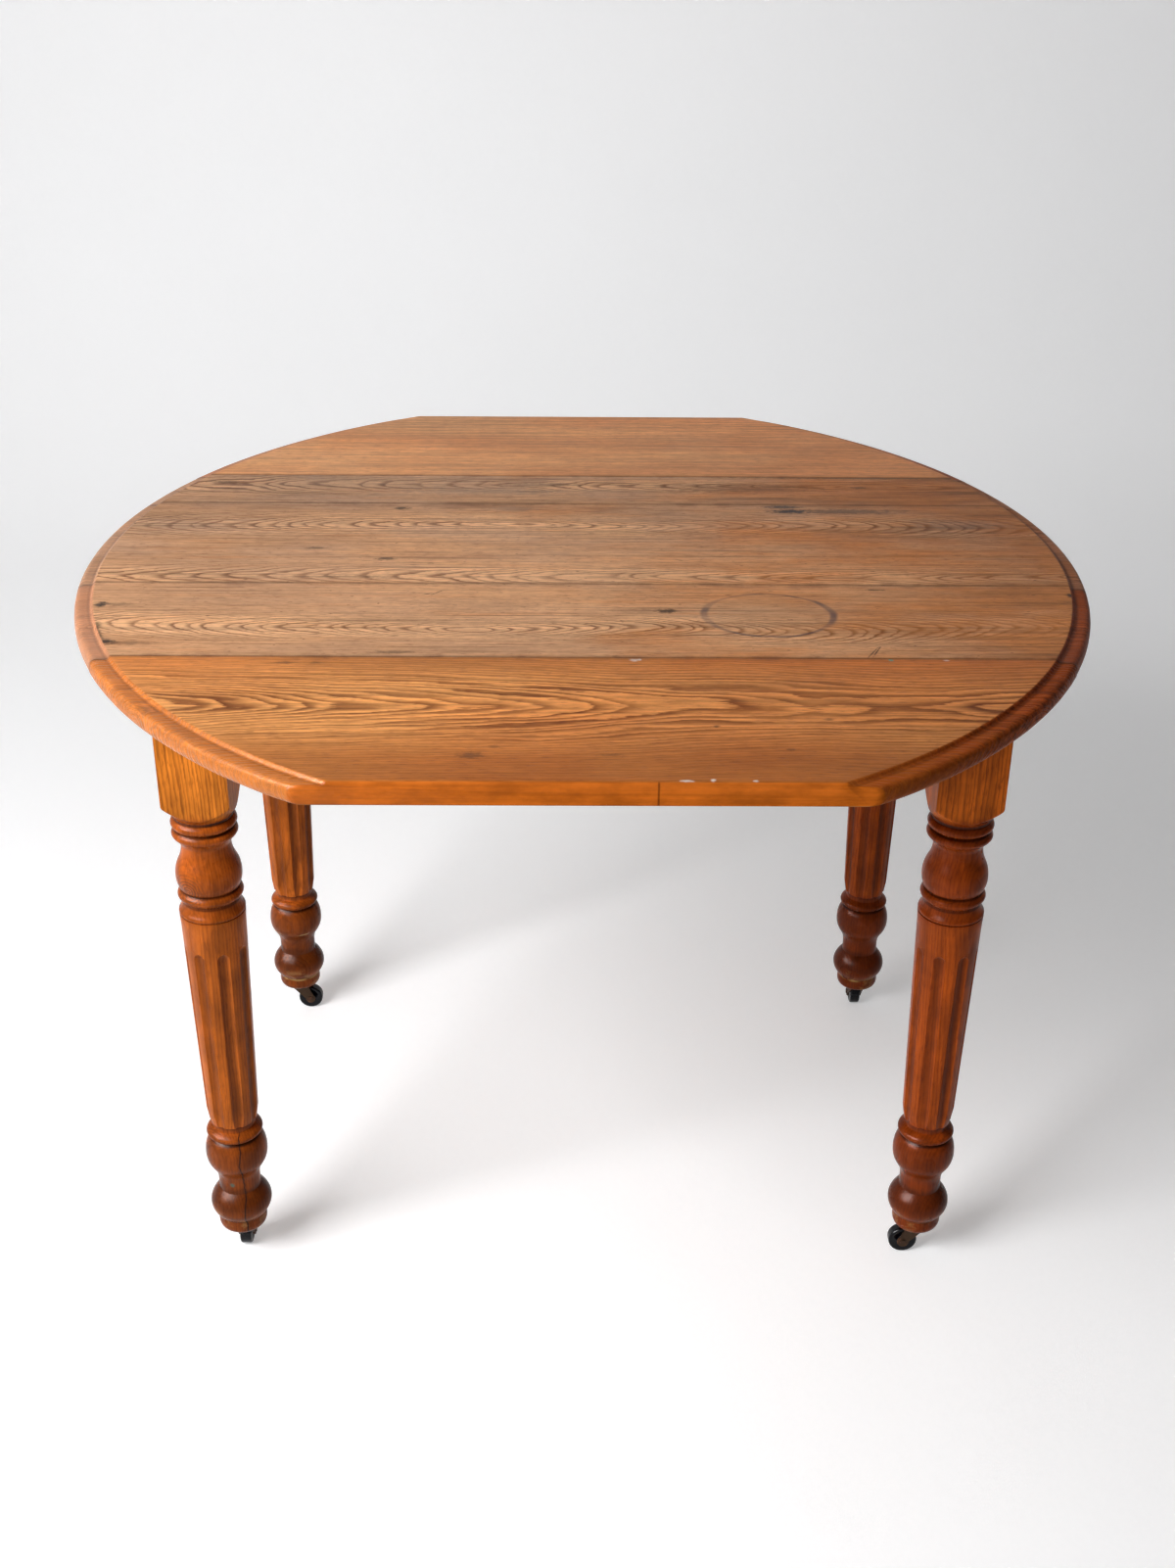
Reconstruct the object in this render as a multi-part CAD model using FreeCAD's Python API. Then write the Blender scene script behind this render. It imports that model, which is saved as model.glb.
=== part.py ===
import FreeCAD, Part
import math
import os

# Drop-leaf dining table: a six-board top with clipped ends and two hinged leaves, an apron frame
# with swinging leaf brackets, and four turned and fluted legs on swivel casters.
# Lengths are millimetres. X runs along the boards, Y across them with the front at -Y, Z is up,
# and the origin lies on the floor under the middle of the top.

# Whole table
TABLE_HEIGHT = 750.0
TOP_LENGTH = 1064.0
TOP_DEPTH = 1064.0
END_LENGTH = 430.0
TOP_THICKNESS = 22.0

# Boards of the fixed top, counted from the front
FIXED_TOP_DEPTH = 549.0
FRONT_BOARD_WIDTH = 190.5
SECOND_BOARD_WIDTH = 84.0
THIRD_BOARD_WIDTH = 171.0
LEAF_GAP = 1.0
BOARD_EASE = 0.6
END_ROUND = 4.0

# Moulding along the two round sides
MOULD_WIDTH = 17.5
MOULD_STEP = 3.5
MOULD_FOOT = 7.0

# Leg: square blank, block left square at the top, head turned below it, foot turned at the bottom
LEG_OVERHANG = 150.0
LEAF_LEG_CLEARANCE = 1.3
LEG_BLANK = 68.0
LATHE_CLEARANCE = 0.5
BLOCK_LENGTH = 136.0
SHOULDER_LENGTH = 27.0
SHOULDER_D = 60.0
RING_LENGTH = 12.0
RING_D = 67.0
RING_GROOVE_D = 58.0
VASE_LENGTH = 59.0
VASE_NECK_DROP = 7.0
VASE_BELLY_DROP = 44.0
VASE_NECK_D = 50.6
VASE_BELLY_D = 67.4
VASE_FOOT_D = 60.0
BEAD_LENGTH = 12.0
BEAD_D = 67.2
FLARE_LENGTH = 17.0
FLARE_TOP_D = 61.0
COLLAR_LENGTH = 11.0
COLLAR_D = 67.6
COLUMN_TOP_D = 66.6
COLUMN_FOOT_D = 55.6
COLUMN_BEVEL_LENGTH = 15.0
COLUMN_BEVEL_D = 51.0
ANKLE_LENGTH = 8.0
ANKLE_D = 46.4
ANKLE_RING_LENGTH = 13.0
ANKLE_RING_D = 61.0
ANKLE_GROOVE_D = 52.0
BALL_LENGTH = 60.0
BALL_BELLY_RISE = 37.0
BALL_D = 67.6
NECK_LENGTH = 12.0
NECK_D = 45.6
FOOT_RING_LENGTH = 38.0
FOOT_RING_D = 67.0
FOOT_CUP_LENGTH = 17.0
FOOT_CUP_RISE = 10.0
FOOT_CUP_D = 53.4
FOOT_GROOVE_D = 51.0
FOOT_END_D = 36.0

# Flutes cut in the tapered column, the first one half a step away from the block's flats
FLUTE_COUNT = 8
FLUTE_WIDTH = 14.0
FLUTE_DEPTH = 3.4
FLUTE_TOP_DROP = 27.0

# Apron frame, tenoned into the leg blocks
APRON_HEIGHT = 105.0
APRON_THICKNESS = 24.0
END_APRON_SETBACK = 4.0
TENON_THICKNESS = 10.0
TENON_LENGTH = 28.0
TENON_SHOULDER = 12.0
GLUE_BLOCK_SIDE = 32.0
GLUE_BLOCK_LENGTH = 90.0
GLUE_BLOCK_X = 200.0
GLUE_BLOCK_Y = 100.0

# Knuckle rail and the leaf brackets that swing on it
RAIL_SETBACK = 3.0
RAIL_THICKNESS = 24.0
RAIL_HEIGHT = 70.0
BRACKET_PIVOT_X = 60.0
BRACKET_HINGE_CLEARANCE = 20.0
BRACKET_TIP_HEIGHT = 26.0
KNUCKLE_COUNT = 5
KNUCKLE_GAP = 0.5
BRACKET_TOP_GAP = 0.5
BRACKET_PIN_D = 6.0
RUNNING_CLEARANCE = 0.06
RAIL_SCREW_X = 28.0
RAIL_SCREW_D = 5.0
RAIL_SCREW_HEAD_D = 9.0
RAIL_SCREW_LENGTH = 40.0

# Leaf hinges, screwed to the underside with the barrel on the leaf joint
HINGE_LEG_CLEARANCE = 13.0
HINGE_WIDTH = 50.0
HINGE_BARREL_D = 10.0
HINGE_BARREL_GAP = 0.3
HINGE_PIN_D = 4.0
HINGE_PLATE = 2.5
HINGE_KNUCKLE = 15.0
HINGE_KNUCKLE_GAP = 0.4
FLAP_APRON_CLEARANCE = 1.0
LEAF_FLAP_LENGTH = 42.0
HINGE_SCREW_D = 3.6
HINGE_SCREW_HEAD_D = 7.0
HINGE_SCREW_LENGTH = 16.0
HINGE_SCREW_EDGE = 8.0

# Casters: socket sleeve in the foot, swivel horn, axle and wheel
CASTER_HEIGHT = 40.0
WHEEL_D = 32.0
WHEEL_WIDTH = 13.0
WHEEL_EDGE_BEVEL = 2.0
WHEEL_DISH_D = 20.0
WHEEL_DISH_DEPTH = 1.2
CASTER_TRAIL = 13.0
AXLE_D = 4.0
AXLE_HEAD_D = 7.0
AXLE_HEAD_LENGTH = 1.2
HORN_CHEEK = 2.4
HORN_SIDE_GAP = 0.5
HORN_CROWN = 3.2
HORN_EYE_D = 13.0
HORN_BACK = 10.0
STEM_D = 8.0
STEM_LENGTH = 44.0
SOCKET_WALL = 2.0
SOCKET_FLANGE_D = 30.0
SOCKET_FLANGE = 2.0
SWIVEL_GAP = 0.4

# Way in which each caster trails in the photograph, in degrees from +X
CASTER_TURN = {"front_left": 90.0, "front_right": 180.0, "rear_left": 0.0, "rear_right": 90.0}
CORNERS = {"front_left": (-1, -1), "front_right": (1, -1), "rear_left": (-1, 1), "rear_right": (1, 1)}
SIDES = {"front": -1, "rear": 1}

# Places that follow from the sizes
UNDERSIDE = TABLE_HEIGHT - TOP_THICKNESS
LEAF_JOINT_Y = (FIXED_TOP_DEPTH + LEAF_GAP) / 2
HINGE_DROP = HINGE_BARREL_GAP + HINGE_BARREL_D / 2
HINGE_AXIS_Z = UNDERSIDE - HINGE_DROP
LEG_X = TOP_LENGTH / 2 - LEG_OVERHANG
LEG_Y = LEAF_JOINT_Y + HINGE_DROP - LEAF_LEG_CLEARANCE - LEG_BLANK / 2
HINGE_X = LEG_X - LEG_BLANK / 2 - HINGE_LEG_CLEARANCE - HINGE_WIDTH / 2
RAIL_OUTER_Y = LEG_Y + LEG_BLANK / 2 - RAIL_SETBACK
BRACKET_PIVOT_Y = RAIL_OUTER_Y - RAIL_THICKNESS / 2
APRON_OUTER_Y = RAIL_OUTER_Y - RAIL_THICKNESS
END_APRON_OUTER_X = LEG_X + LEG_BLANK / 2 - END_APRON_SETBACK
RAIL_TOP = UNDERSIDE - BRACKET_TOP_GAP
KNUCKLE_REACH = RAIL_THICKNESS / 2 + KNUCKLE_GAP
FIXED_FLAP_LENGTH = LEAF_JOINT_Y - APRON_OUTER_Y - FLAP_APRON_CLEARANCE
BRACKET_REACH = HINGE_X - HINGE_WIDTH / 2 - BRACKET_HINGE_CLEARANCE - BRACKET_PIVOT_X
SOCKET_D = STEM_D + 2 * RUNNING_CLEARANCE + 2 * SOCKET_WALL

Z_AXIS = FreeCAD.Vector(0, 0, 1)
ORIGIN = FreeCAD.Vector(0, 0, 0)


def vector(x, y, z):
    return FreeCAD.Vector(x, y, z)


def block(x0, x1, y0, y1, z0, z1):
    """Box between two values on each axis, given in either order."""
    low = vector(min(x0, x1), min(y0, y1), min(z0, z1))
    return Part.makeBox(abs(x1 - x0), abs(y1 - y0), abs(z1 - z0), low)


def rod(diameter, start, direction, length):
    return Part.makeCylinder(diameter / 2, length, start, direction)


def placed(shape, x, y, z=0.0, turn=0.0):
    """Copy of a shape turned about Z at its own origin, then moved."""
    copy = shape.copy()
    copy.rotate(ORIGIN, Z_AXIS, turn)
    copy.translate(vector(x, y, z))
    return copy


def curved_edge(points):
    """Smooth edge that leaves its first point and reaches its last one, drawn towards those between."""
    bezier = Part.BezierCurve()
    bezier.setPoles(points)
    return bezier.toShape()


def straight_edge(points):
    return Part.makeLine(points[0], points[-1])


def prism(points, along):
    """Solid made by pushing a closed outline along a vector."""
    return Part.Face(Part.makePolygon(points + points[:1])).extrude(along)


class TurnedProfile:
    """Half outline of a turned piece, drawn as diameters and heights from the axis and back to it."""

    def __init__(self, diameter, height):
        self.start = vector(0, 0, height)
        self.at = vector(diameter / 2, 0, height)
        self.edges = [Part.makeLine(self.start, self.at)]

    def line(self, diameter, height):
        end = vector(diameter / 2, 0, height)
        self.edges.append(Part.makeLine(self.at, end))
        self.at = end

    def curve(self, *poles):
        """Smooth curve from the present point, guided by (diameter, height) poles."""
        points = [self.at] + [vector(d / 2, 0, h) for d, h in poles]
        self.edges.append(curved_edge(points))
        self.at = points[-1]

    def bead(self, crest, diameter, height):
        """Rounded bead whose fattest place reaches the crest diameter."""
        middle = (self.at.x + diameter / 2) / 2
        self.curve((2 * (crest - middle), (self.at.z + height) / 2), (diameter, height))

    def swell(self, diameter, height):
        """S-shaped run that leaves and arrives along the axis."""
        half = (self.at.z + height) / 2
        self.curve((2 * self.at.x, half), (diameter, half), (diameter, height))

    def solid(self):
        top = vector(0, 0, self.at.z)
        self.edges.append(Part.makeLine(self.at, top))
        self.edges.append(Part.makeLine(top, self.start))
        return Part.Face(Part.Wire(self.edges)).revolve(ORIGIN, Z_AXIS, 360)


def screw(diameter, head_diameter, length):
    """Countersunk wood screw standing on its head's flat face."""
    profile = TurnedProfile(head_diameter, 0)
    profile.line(diameter, (head_diameter - diameter) / 2)
    profile.line(diameter, length)
    return profile.solid()


def moulded_disc(side):
    """Full-thickness disc with the moulding round its rim, centred so that one side of the top is its rim."""
    inner = TOP_LENGTH / 2 - MOULD_WIDTH
    end = END_LENGTH / 2
    centre = (end ** 2 + (TOP_DEPTH / 2) ** 2 - inner ** 2) / (2 * (inner - end))
    rim = 2 * (inner + centre)
    foot = rim + 2 * MOULD_WIDTH
    shoulder = TABLE_HEIGHT - MOULD_STEP
    profile = TurnedProfile(foot, UNDERSIDE)
    profile.line(foot, UNDERSIDE + MOULD_FOOT)
    profile.curve((foot, shoulder), (rim + MOULD_WIDTH, shoulder), (rim, shoulder))
    profile.line(rim, TABLE_HEIGHT)
    return placed(profile.solid(), -side * centre, 0, turn=90 + 90 * side)


def slab(y0, y1, first, last):
    """Board section from y0 to y1 pushed along the whole length.

    The pairs name how far each upper edge is taken off and what kind of edge is left there.
    """
    first_size, first_edge = first
    last_size, last_edge = last
    x = -TOP_LENGTH
    top = TABLE_HEIGHT
    low_first = vector(x, y0, UNDERSIDE)
    low_last = vector(x, y1, UNDERSIDE)
    over_last = [vector(x, y1, top - last_size), vector(x, y1, top), vector(x, y1 - last_size, top)]
    over_first = [vector(x, y0 + first_size, top), vector(x, y0, top), vector(x, y0, top - first_size)]
    outline = [
        Part.makeLine(low_first, low_last),
        Part.makeLine(low_last, over_last[0]),
        last_edge(over_last),
        Part.makeLine(over_last[-1], over_first[0]),
        first_edge(over_first),
        Part.makeLine(over_first[-1], low_first),
    ]
    return Part.Face(Part.Wire(outline)).extrude(vector(2 * TOP_LENGTH, 0, 0))


def top_boards():
    """The four fixed boards and the two leaves, cut from one outline."""
    half = FIXED_TOP_DEPTH / 2
    first = -half + FRONT_BOARD_WIDTH
    second = first + SECOND_BOARD_WIDTH
    third = second + THIRD_BOARD_WIDTH
    leaf = half + LEAF_GAP
    edge = TOP_DEPTH / 2
    joint = (BOARD_EASE, straight_edge)
    rounded = (END_ROUND, curved_edge)
    sections = {
        "front_leaf": slab(-edge, -leaf, rounded, joint),
        "top_board_front": slab(-half, first, joint, joint),
        "top_board_second": slab(first, second, joint, joint),
        "top_board_third": slab(second, third, joint, joint),
        "top_board_rear": slab(third, half, joint, joint),
        "rear_leaf": slab(leaf, edge, joint, rounded),
    }
    right = moulded_disc(1)
    left = moulded_disc(-1)
    return {name: section.common(right).common(left) for name, section in sections.items()}


def turned_leg():
    """Leg of the rear side on its own axis: turned from the square blank, column fluted, foot bored."""
    profile = TurnedProfile(FOOT_END_D, CASTER_HEIGHT)
    z = CASTER_HEIGHT + FOOT_CUP_LENGTH
    profile.curve((FOOT_CUP_D, CASTER_HEIGHT), (FOOT_CUP_D, CASTER_HEIGHT + FOOT_CUP_RISE))
    profile.line(FOOT_GROOVE_D, z)
    z += FOOT_RING_LENGTH
    profile.bead(FOOT_RING_D, NECK_D, z)
    z += NECK_LENGTH
    profile.line(NECK_D, z)
    profile.swell(BALL_D, z + BALL_BELLY_RISE)
    z += BALL_LENGTH
    profile.curve((BALL_D, z - (BALL_LENGTH - BALL_BELLY_RISE) / 3), (ANKLE_GROOVE_D, z))
    z += ANKLE_RING_LENGTH
    profile.bead(ANKLE_RING_D, ANKLE_D, z)
    z += ANKLE_LENGTH
    profile.line(ANKLE_D, z)
    flute_end = z - ANKLE_LENGTH / 2
    profile.line(COLUMN_BEVEL_D, z)
    z += COLUMN_BEVEL_LENGTH
    profile.line(COLUMN_FOOT_D, z)
    column_foot = z
    ring_foot = UNDERSIDE - BLOCK_LENGTH - SHOULDER_LENGTH - 2 * RING_LENGTH
    bead_top = ring_foot - VASE_LENGTH
    flare_top = bead_top - BEAD_LENGTH
    collar_top = flare_top - FLARE_LENGTH
    column_top = collar_top - COLLAR_LENGTH
    profile.line((COLUMN_FOOT_D + COLUMN_TOP_D) / 2, (column_foot + column_top) / 2)
    profile.line(COLUMN_TOP_D, column_top)
    profile.bead(COLLAR_D, COLLAR_D, collar_top)
    profile.line(FLARE_TOP_D, flare_top)
    profile.bead(BEAD_D, VASE_FOOT_D, bead_top)
    belly = ring_foot - VASE_BELLY_DROP
    profile.curve((VASE_BELLY_D, (belly + bead_top) / 2), (VASE_BELLY_D, belly))
    profile.swell(VASE_NECK_D, ring_foot - VASE_NECK_DROP)
    profile.line(RING_GROOVE_D, ring_foot)
    profile.bead(RING_D, RING_GROOVE_D, ring_foot + RING_LENGTH)
    profile.bead(RING_D, RING_GROOVE_D, ring_foot + 2 * RING_LENGTH)
    corner_d = LEG_BLANK * math.sqrt(2) + 2 * LATHE_CLEARANCE
    block_foot = UNDERSIDE - BLOCK_LENGTH
    shoulder = block_foot - SHOULDER_LENGTH
    profile.line(SHOULDER_D, shoulder)
    profile.curve((SHOULDER_D, shoulder + SHOULDER_LENGTH / 3), (corner_d, block_foot - SHOULDER_LENGTH / 3),
                  (corner_d, block_foot))
    profile.line(corner_d, UNDERSIDE)
    half = LEG_BLANK / 2
    blank = block(-half, half, -half, half, CASTER_HEIGHT, UNDERSIDE)
    leg = blank.common(profile.solid())
    flutes = flute_cutters(column_foot, column_top, flute_end)
    socket_bore = rod(SOCKET_D, vector(0, 0, CASTER_HEIGHT), Z_AXIS, STEM_LENGTH)
    return leg.cut(flutes).cut(socket_bore).cut(leaf_relief())


def leaf_relief():
    """Bevel along the leg's upper +Y edge, past which the underside of the leaf swings down."""
    half = LEG_BLANK / 2
    corner = [
        vector(-half, half, UNDERSIDE),
        vector(-half, half - HINGE_DROP, UNDERSIDE),
        vector(-half, half, UNDERSIDE - HINGE_DROP),
    ]
    return prism(corner, vector(LEG_BLANK, 0, 0))


def flute_cutters(column_foot, column_top, flute_end):
    """Round-nosed cutters set round the column, leaning with its taper."""
    radius = (FLUTE_WIDTH ** 2 / 4 + FLUTE_DEPTH ** 2) / (2 * FLUTE_DEPTH)
    lift = radius - FLUTE_DEPTH
    slope = (COLUMN_TOP_D - COLUMN_FOOT_D) / 2 / (column_top - column_foot)
    nose_height = column_top - FLUTE_TOP_DROP - FLUTE_WIDTH / 2
    nose = vector(COLUMN_FOOT_D / 2 + slope * (nose_height - column_foot) + lift, 0, nose_height)
    foot = vector(COLUMN_FOOT_D / 2 + slope * (flute_end - column_foot) + lift, 0, flute_end)
    along = nose - foot
    cutter = rod(2 * radius, foot, along, along.Length).fuse(Part.makeSphere(radius, nose))
    step = 360.0 / FLUTE_COUNT
    return Part.makeCompound([placed(cutter, 0, 0, turn=step * (i + 0.5)) for i in range(FLUTE_COUNT)])


def long_apron(side):
    """Apron between the legs along X, with a tenon at each end."""
    inner = APRON_OUTER_Y - APRON_THICKNESS
    shoulder = LEG_X - LEG_BLANK / 2
    low = UNDERSIDE - APRON_HEIGHT
    middle = (APRON_OUTER_Y + inner) / 2
    board = block(-shoulder, shoulder, side * inner, side * APRON_OUTER_Y, low, UNDERSIDE)
    reach = shoulder + TENON_LENGTH
    cheek = TENON_THICKNESS / 2
    tenons = block(-reach, reach, side * (middle - cheek), side * (middle + cheek),
                   low + TENON_SHOULDER, UNDERSIDE - TENON_SHOULDER)
    return board.fuse(tenons).removeSplitter()


def end_apron(side):
    """Apron between the legs along Y, with a tenon at each end."""
    inner = END_APRON_OUTER_X - APRON_THICKNESS
    shoulder = LEG_Y - LEG_BLANK / 2
    low = UNDERSIDE - APRON_HEIGHT
    middle = (END_APRON_OUTER_X + inner) / 2
    board = block(side * inner, side * END_APRON_OUTER_X, -shoulder, shoulder, low, UNDERSIDE)
    reach = shoulder + TENON_LENGTH
    cheek = TENON_THICKNESS / 2
    tenons = block(side * (middle - cheek), side * (middle + cheek), -reach, reach,
                   low + TENON_SHOULDER, UNDERSIDE - TENON_SHOULDER)
    return board.fuse(tenons).removeSplitter()


def glue_blocks():
    """Three-cornered blocks rubbed into the angle between the aprons and the top."""
    side = GLUE_BLOCK_SIDE
    corner = [vector(0, 0, 0), vector(0, 0, -side), vector(0, -side, 0)]
    stick = prism(corner, vector(GLUE_BLOCK_LENGTH, 0, 0))
    stick.translate(vector(-GLUE_BLOCK_LENGTH / 2, 0, UNDERSIDE))
    long_face = APRON_OUTER_Y - APRON_THICKNESS
    end_face = END_APRON_OUTER_X - APRON_THICKNESS
    blocks = []
    for offset in (-GLUE_BLOCK_X, GLUE_BLOCK_X):
        blocks.append(placed(stick, offset, long_face))
        blocks.append(placed(stick, offset, -long_face, turn=180))
    for offset in (-GLUE_BLOCK_Y, GLUE_BLOCK_Y):
        blocks.append(placed(stick, end_face, offset, turn=-90))
        blocks.append(placed(stick, -end_face, offset, turn=90))
    return Part.makeCompound(blocks)


def knuckle_heights(first):
    """Lower and upper heights of every other knuckle, starting with the first or second from below."""
    pitch = RAIL_HEIGHT / KNUCKLE_COUNT
    foot = RAIL_TOP - RAIL_HEIGHT
    return [(foot + i * pitch, foot + (i + 1) * pitch) for i in range(first, KNUCKLE_COUNT, 2)]


def knuckle(thickness, reach, low, high):
    """Round-ended finger from its shoulder on +X to the pin at the origin."""
    finger = block(0, reach, -thickness / 2, thickness / 2, low, high)
    return finger.fuse(rod(thickness, vector(0, 0, low), Z_AXIS, high - low)).removeSplitter()


def knuckle_rail():
    """Fixed rail of the rear side, with fingers for a bracket at each end."""
    shoulder = BRACKET_PIVOT_X - KNUCKLE_REACH
    half = RAIL_THICKNESS / 2
    foot = RAIL_TOP - RAIL_HEIGHT
    rail = block(-shoulder, shoulder, BRACKET_PIVOT_Y - half, BRACKET_PIVOT_Y + half, foot, RAIL_TOP)
    for low, high in knuckle_heights(0):
        finger = knuckle(RAIL_THICKNESS, KNUCKLE_REACH, low, high)
        rail = rail.fuse(placed(finger, -BRACKET_PIVOT_X, BRACKET_PIVOT_Y))
        rail = rail.fuse(placed(finger, BRACKET_PIVOT_X, BRACKET_PIVOT_Y, turn=180))
    for x in (-BRACKET_PIVOT_X, BRACKET_PIVOT_X):
        rail = rail.cut(placed(bracket_pin(), x, BRACKET_PIVOT_Y))
    return rail.removeSplitter()


def bracket():
    """Leaf bracket folded along +X, its pin at the origin and its lower edge swept up to the tip."""
    thickness = RAIL_THICKNESS - 2 * KNUCKLE_GAP
    foot = RAIL_TOP - RAIL_HEIGHT
    tip = RAIL_TOP - BRACKET_TIP_HEIGHT
    half = (KNUCKLE_REACH + BRACKET_REACH) / 2
    y = -thickness / 2
    heel = vector(KNUCKLE_REACH, y, foot)
    toe = vector(BRACKET_REACH, y, tip)
    top_tip = vector(BRACKET_REACH, y, RAIL_TOP)
    top_heel = vector(KNUCKLE_REACH, y, RAIL_TOP)
    outline = [
        Part.makeLine(top_heel, heel),
        curved_edge([heel, vector(half, y, foot), vector(half, y, tip), toe]),
        Part.makeLine(toe, top_tip),
        Part.makeLine(top_tip, top_heel),
    ]
    arm = Part.Face(Part.Wire(outline)).extrude(vector(0, thickness, 0))
    for low, high in knuckle_heights(1):
        arm = arm.fuse(knuckle(thickness, KNUCKLE_REACH, low + KNUCKLE_GAP, high - KNUCKLE_GAP))
    bore_d = BRACKET_PIN_D + 2 * RUNNING_CLEARANCE
    bore = rod(bore_d, vector(0, 0, foot), Z_AXIS, RAIL_HEIGHT)
    return arm.cut(bore).removeSplitter()


def bracket_pin():
    return rod(BRACKET_PIN_D, vector(0, 0, RAIL_TOP - RAIL_HEIGHT), Z_AXIS, RAIL_HEIGHT)


def rail_screws():
    """Screws through both knuckle rails into the aprons, heads flush with the rails' faces."""
    driver = screw(RAIL_SCREW_D, RAIL_SCREW_HEAD_D, RAIL_SCREW_LENGTH)
    driver.rotate(ORIGIN, vector(1, 0, 0), 90)
    driver.translate(vector(0, RAIL_OUTER_Y, RAIL_TOP - RAIL_HEIGHT / 2))
    screws = []
    for x in (-RAIL_SCREW_X, RAIL_SCREW_X):
        screws.append(placed(driver, x, 0))
        screws.append(placed(driver, x, 0, turn=180))
    return Part.makeCompound(screws)


def hinge_spot(shape, sx, sy):
    """Hinge piece drawn with its leaf towards +Y at the origin, put at one end of one leaf joint."""
    return placed(shape, sx * HINGE_X, sy * LEAF_JOINT_Y, turn=90 - 90 * sy)


def hinge_barrel(x0, x1, diameter):
    return rod(diameter, vector(x0, 0, HINGE_AXIS_Z), vector(1, 0, 0), x1 - x0)


def fixed_flap():
    """Flap under the fixed top, with the two outer knuckles."""
    half = HINGE_WIDTH / 2
    plate_foot = UNDERSIDE - HINGE_PLATE
    clear = HINGE_BARREL_D / 2 + HINGE_KNUCKLE_GAP
    flap = block(-half, half, -FIXED_FLAP_LENGTH, -clear, plate_foot, UNDERSIDE)
    for x0, x1 in ((-half, -half + HINGE_KNUCKLE), (half - HINGE_KNUCKLE, half)):
        flap = flap.fuse(block(x0, x1, -FIXED_FLAP_LENGTH, 0, plate_foot, UNDERSIDE))
        flap = flap.fuse(hinge_barrel(x0, x1, HINGE_BARREL_D))
    for hole in fixed_flap_screws():
        flap = flap.cut(hole)
    return flap.cut(hinge_pin()).removeSplitter()


def leaf_flap():
    """Flap under the leaf, with the middle knuckle running on the pin."""
    half = HINGE_WIDTH / 2
    plate_foot = UNDERSIDE - HINGE_PLATE
    clear = HINGE_BARREL_D / 2 + HINGE_KNUCKLE_GAP
    inner = half - HINGE_KNUCKLE - HINGE_KNUCKLE_GAP
    flap = block(-half, half, clear, LEAF_FLAP_LENGTH, plate_foot, UNDERSIDE)
    flap = flap.fuse(block(-inner, inner, 0, LEAF_FLAP_LENGTH, plate_foot, UNDERSIDE))
    flap = flap.fuse(hinge_barrel(-inner, inner, HINGE_BARREL_D))
    for hole in leaf_flap_screws():
        flap = flap.cut(hole)
    return flap.cut(hinge_barrel(-half, half, HINGE_PIN_D + 2 * RUNNING_CLEARANCE)).removeSplitter()


def hinge_pin():
    return hinge_barrel(-HINGE_WIDTH / 2, HINGE_WIDTH / 2, HINGE_PIN_D)


def hinge_screws_at(spots):
    """Hinge screws driven up from the flap's lower face at (x, y) spots."""
    driver = screw(HINGE_SCREW_D, HINGE_SCREW_HEAD_D, HINGE_SCREW_LENGTH)
    return [placed(driver, x, y, UNDERSIDE - HINGE_PLATE) for x, y in spots]


def fixed_flap_screws():
    x = HINGE_WIDTH / 2 - HINGE_SCREW_EDGE
    y = -FIXED_FLAP_LENGTH + HINGE_SCREW_EDGE
    return hinge_screws_at([(-x, y), (x, y)])


def leaf_flap_screws():
    x = HINGE_WIDTH / 2 - HINGE_SCREW_EDGE
    y = LEAF_FLAP_LENGTH - HINGE_SCREW_EDGE
    return hinge_screws_at([(-x, y), (x, y)])


def caster_socket():
    """Sleeve driven into the foot, with a flange against the wood."""
    flange_foot = CASTER_HEIGHT - SOCKET_FLANGE
    sleeve = rod(SOCKET_D, vector(0, 0, CASTER_HEIGHT), Z_AXIS, STEM_LENGTH)
    flange = rod(SOCKET_FLANGE_D, vector(0, 0, flange_foot), Z_AXIS, SOCKET_FLANGE)
    bore = rod(STEM_D + 2 * RUNNING_CLEARANCE, vector(0, 0, flange_foot), Z_AXIS, STEM_LENGTH)
    return sleeve.fuse(flange).cut(bore).removeSplitter()


def caster_horn():
    """Swivel horn trailing along +X: crown, stem and a cheek on each side of the wheel."""
    axle_z = WHEEL_D / 2
    crown_top = CASTER_HEIGHT - SOCKET_FLANGE - SWIVEL_GAP
    crown_foot = crown_top - HORN_CROWN
    eye = HORN_EYE_D / 2
    inside = WHEEL_WIDTH / 2 + HORN_SIDE_GAP
    outside = inside + HORN_CHEEK
    front = CASTER_TRAIL - eye / 2
    outline = [
        vector(-HORN_BACK, inside, crown_foot),
        vector(-HORN_BACK, inside, crown_top),
        vector(front, inside, crown_top),
        vector(CASTER_TRAIL + eye, inside, axle_z),
        vector(CASTER_TRAIL, inside, axle_z - eye),
    ]
    cheek = prism(outline, vector(0, HORN_CHEEK, 0))
    cheek = cheek.fuse(rod(HORN_EYE_D, vector(CASTER_TRAIL, inside, axle_z), vector(0, 1, 0), HORN_CHEEK))
    far_cheek = cheek.mirror(ORIGIN, vector(0, 1, 0))
    crown = block(-HORN_BACK, front, -outside, outside, crown_foot, crown_top)
    stem = rod(STEM_D, vector(0, 0, crown_top), Z_AXIS, STEM_LENGTH - SOCKET_FLANGE)
    horn = crown.fuse([cheek, far_cheek, stem])
    return horn.cut(caster_axle()).removeSplitter()


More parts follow.
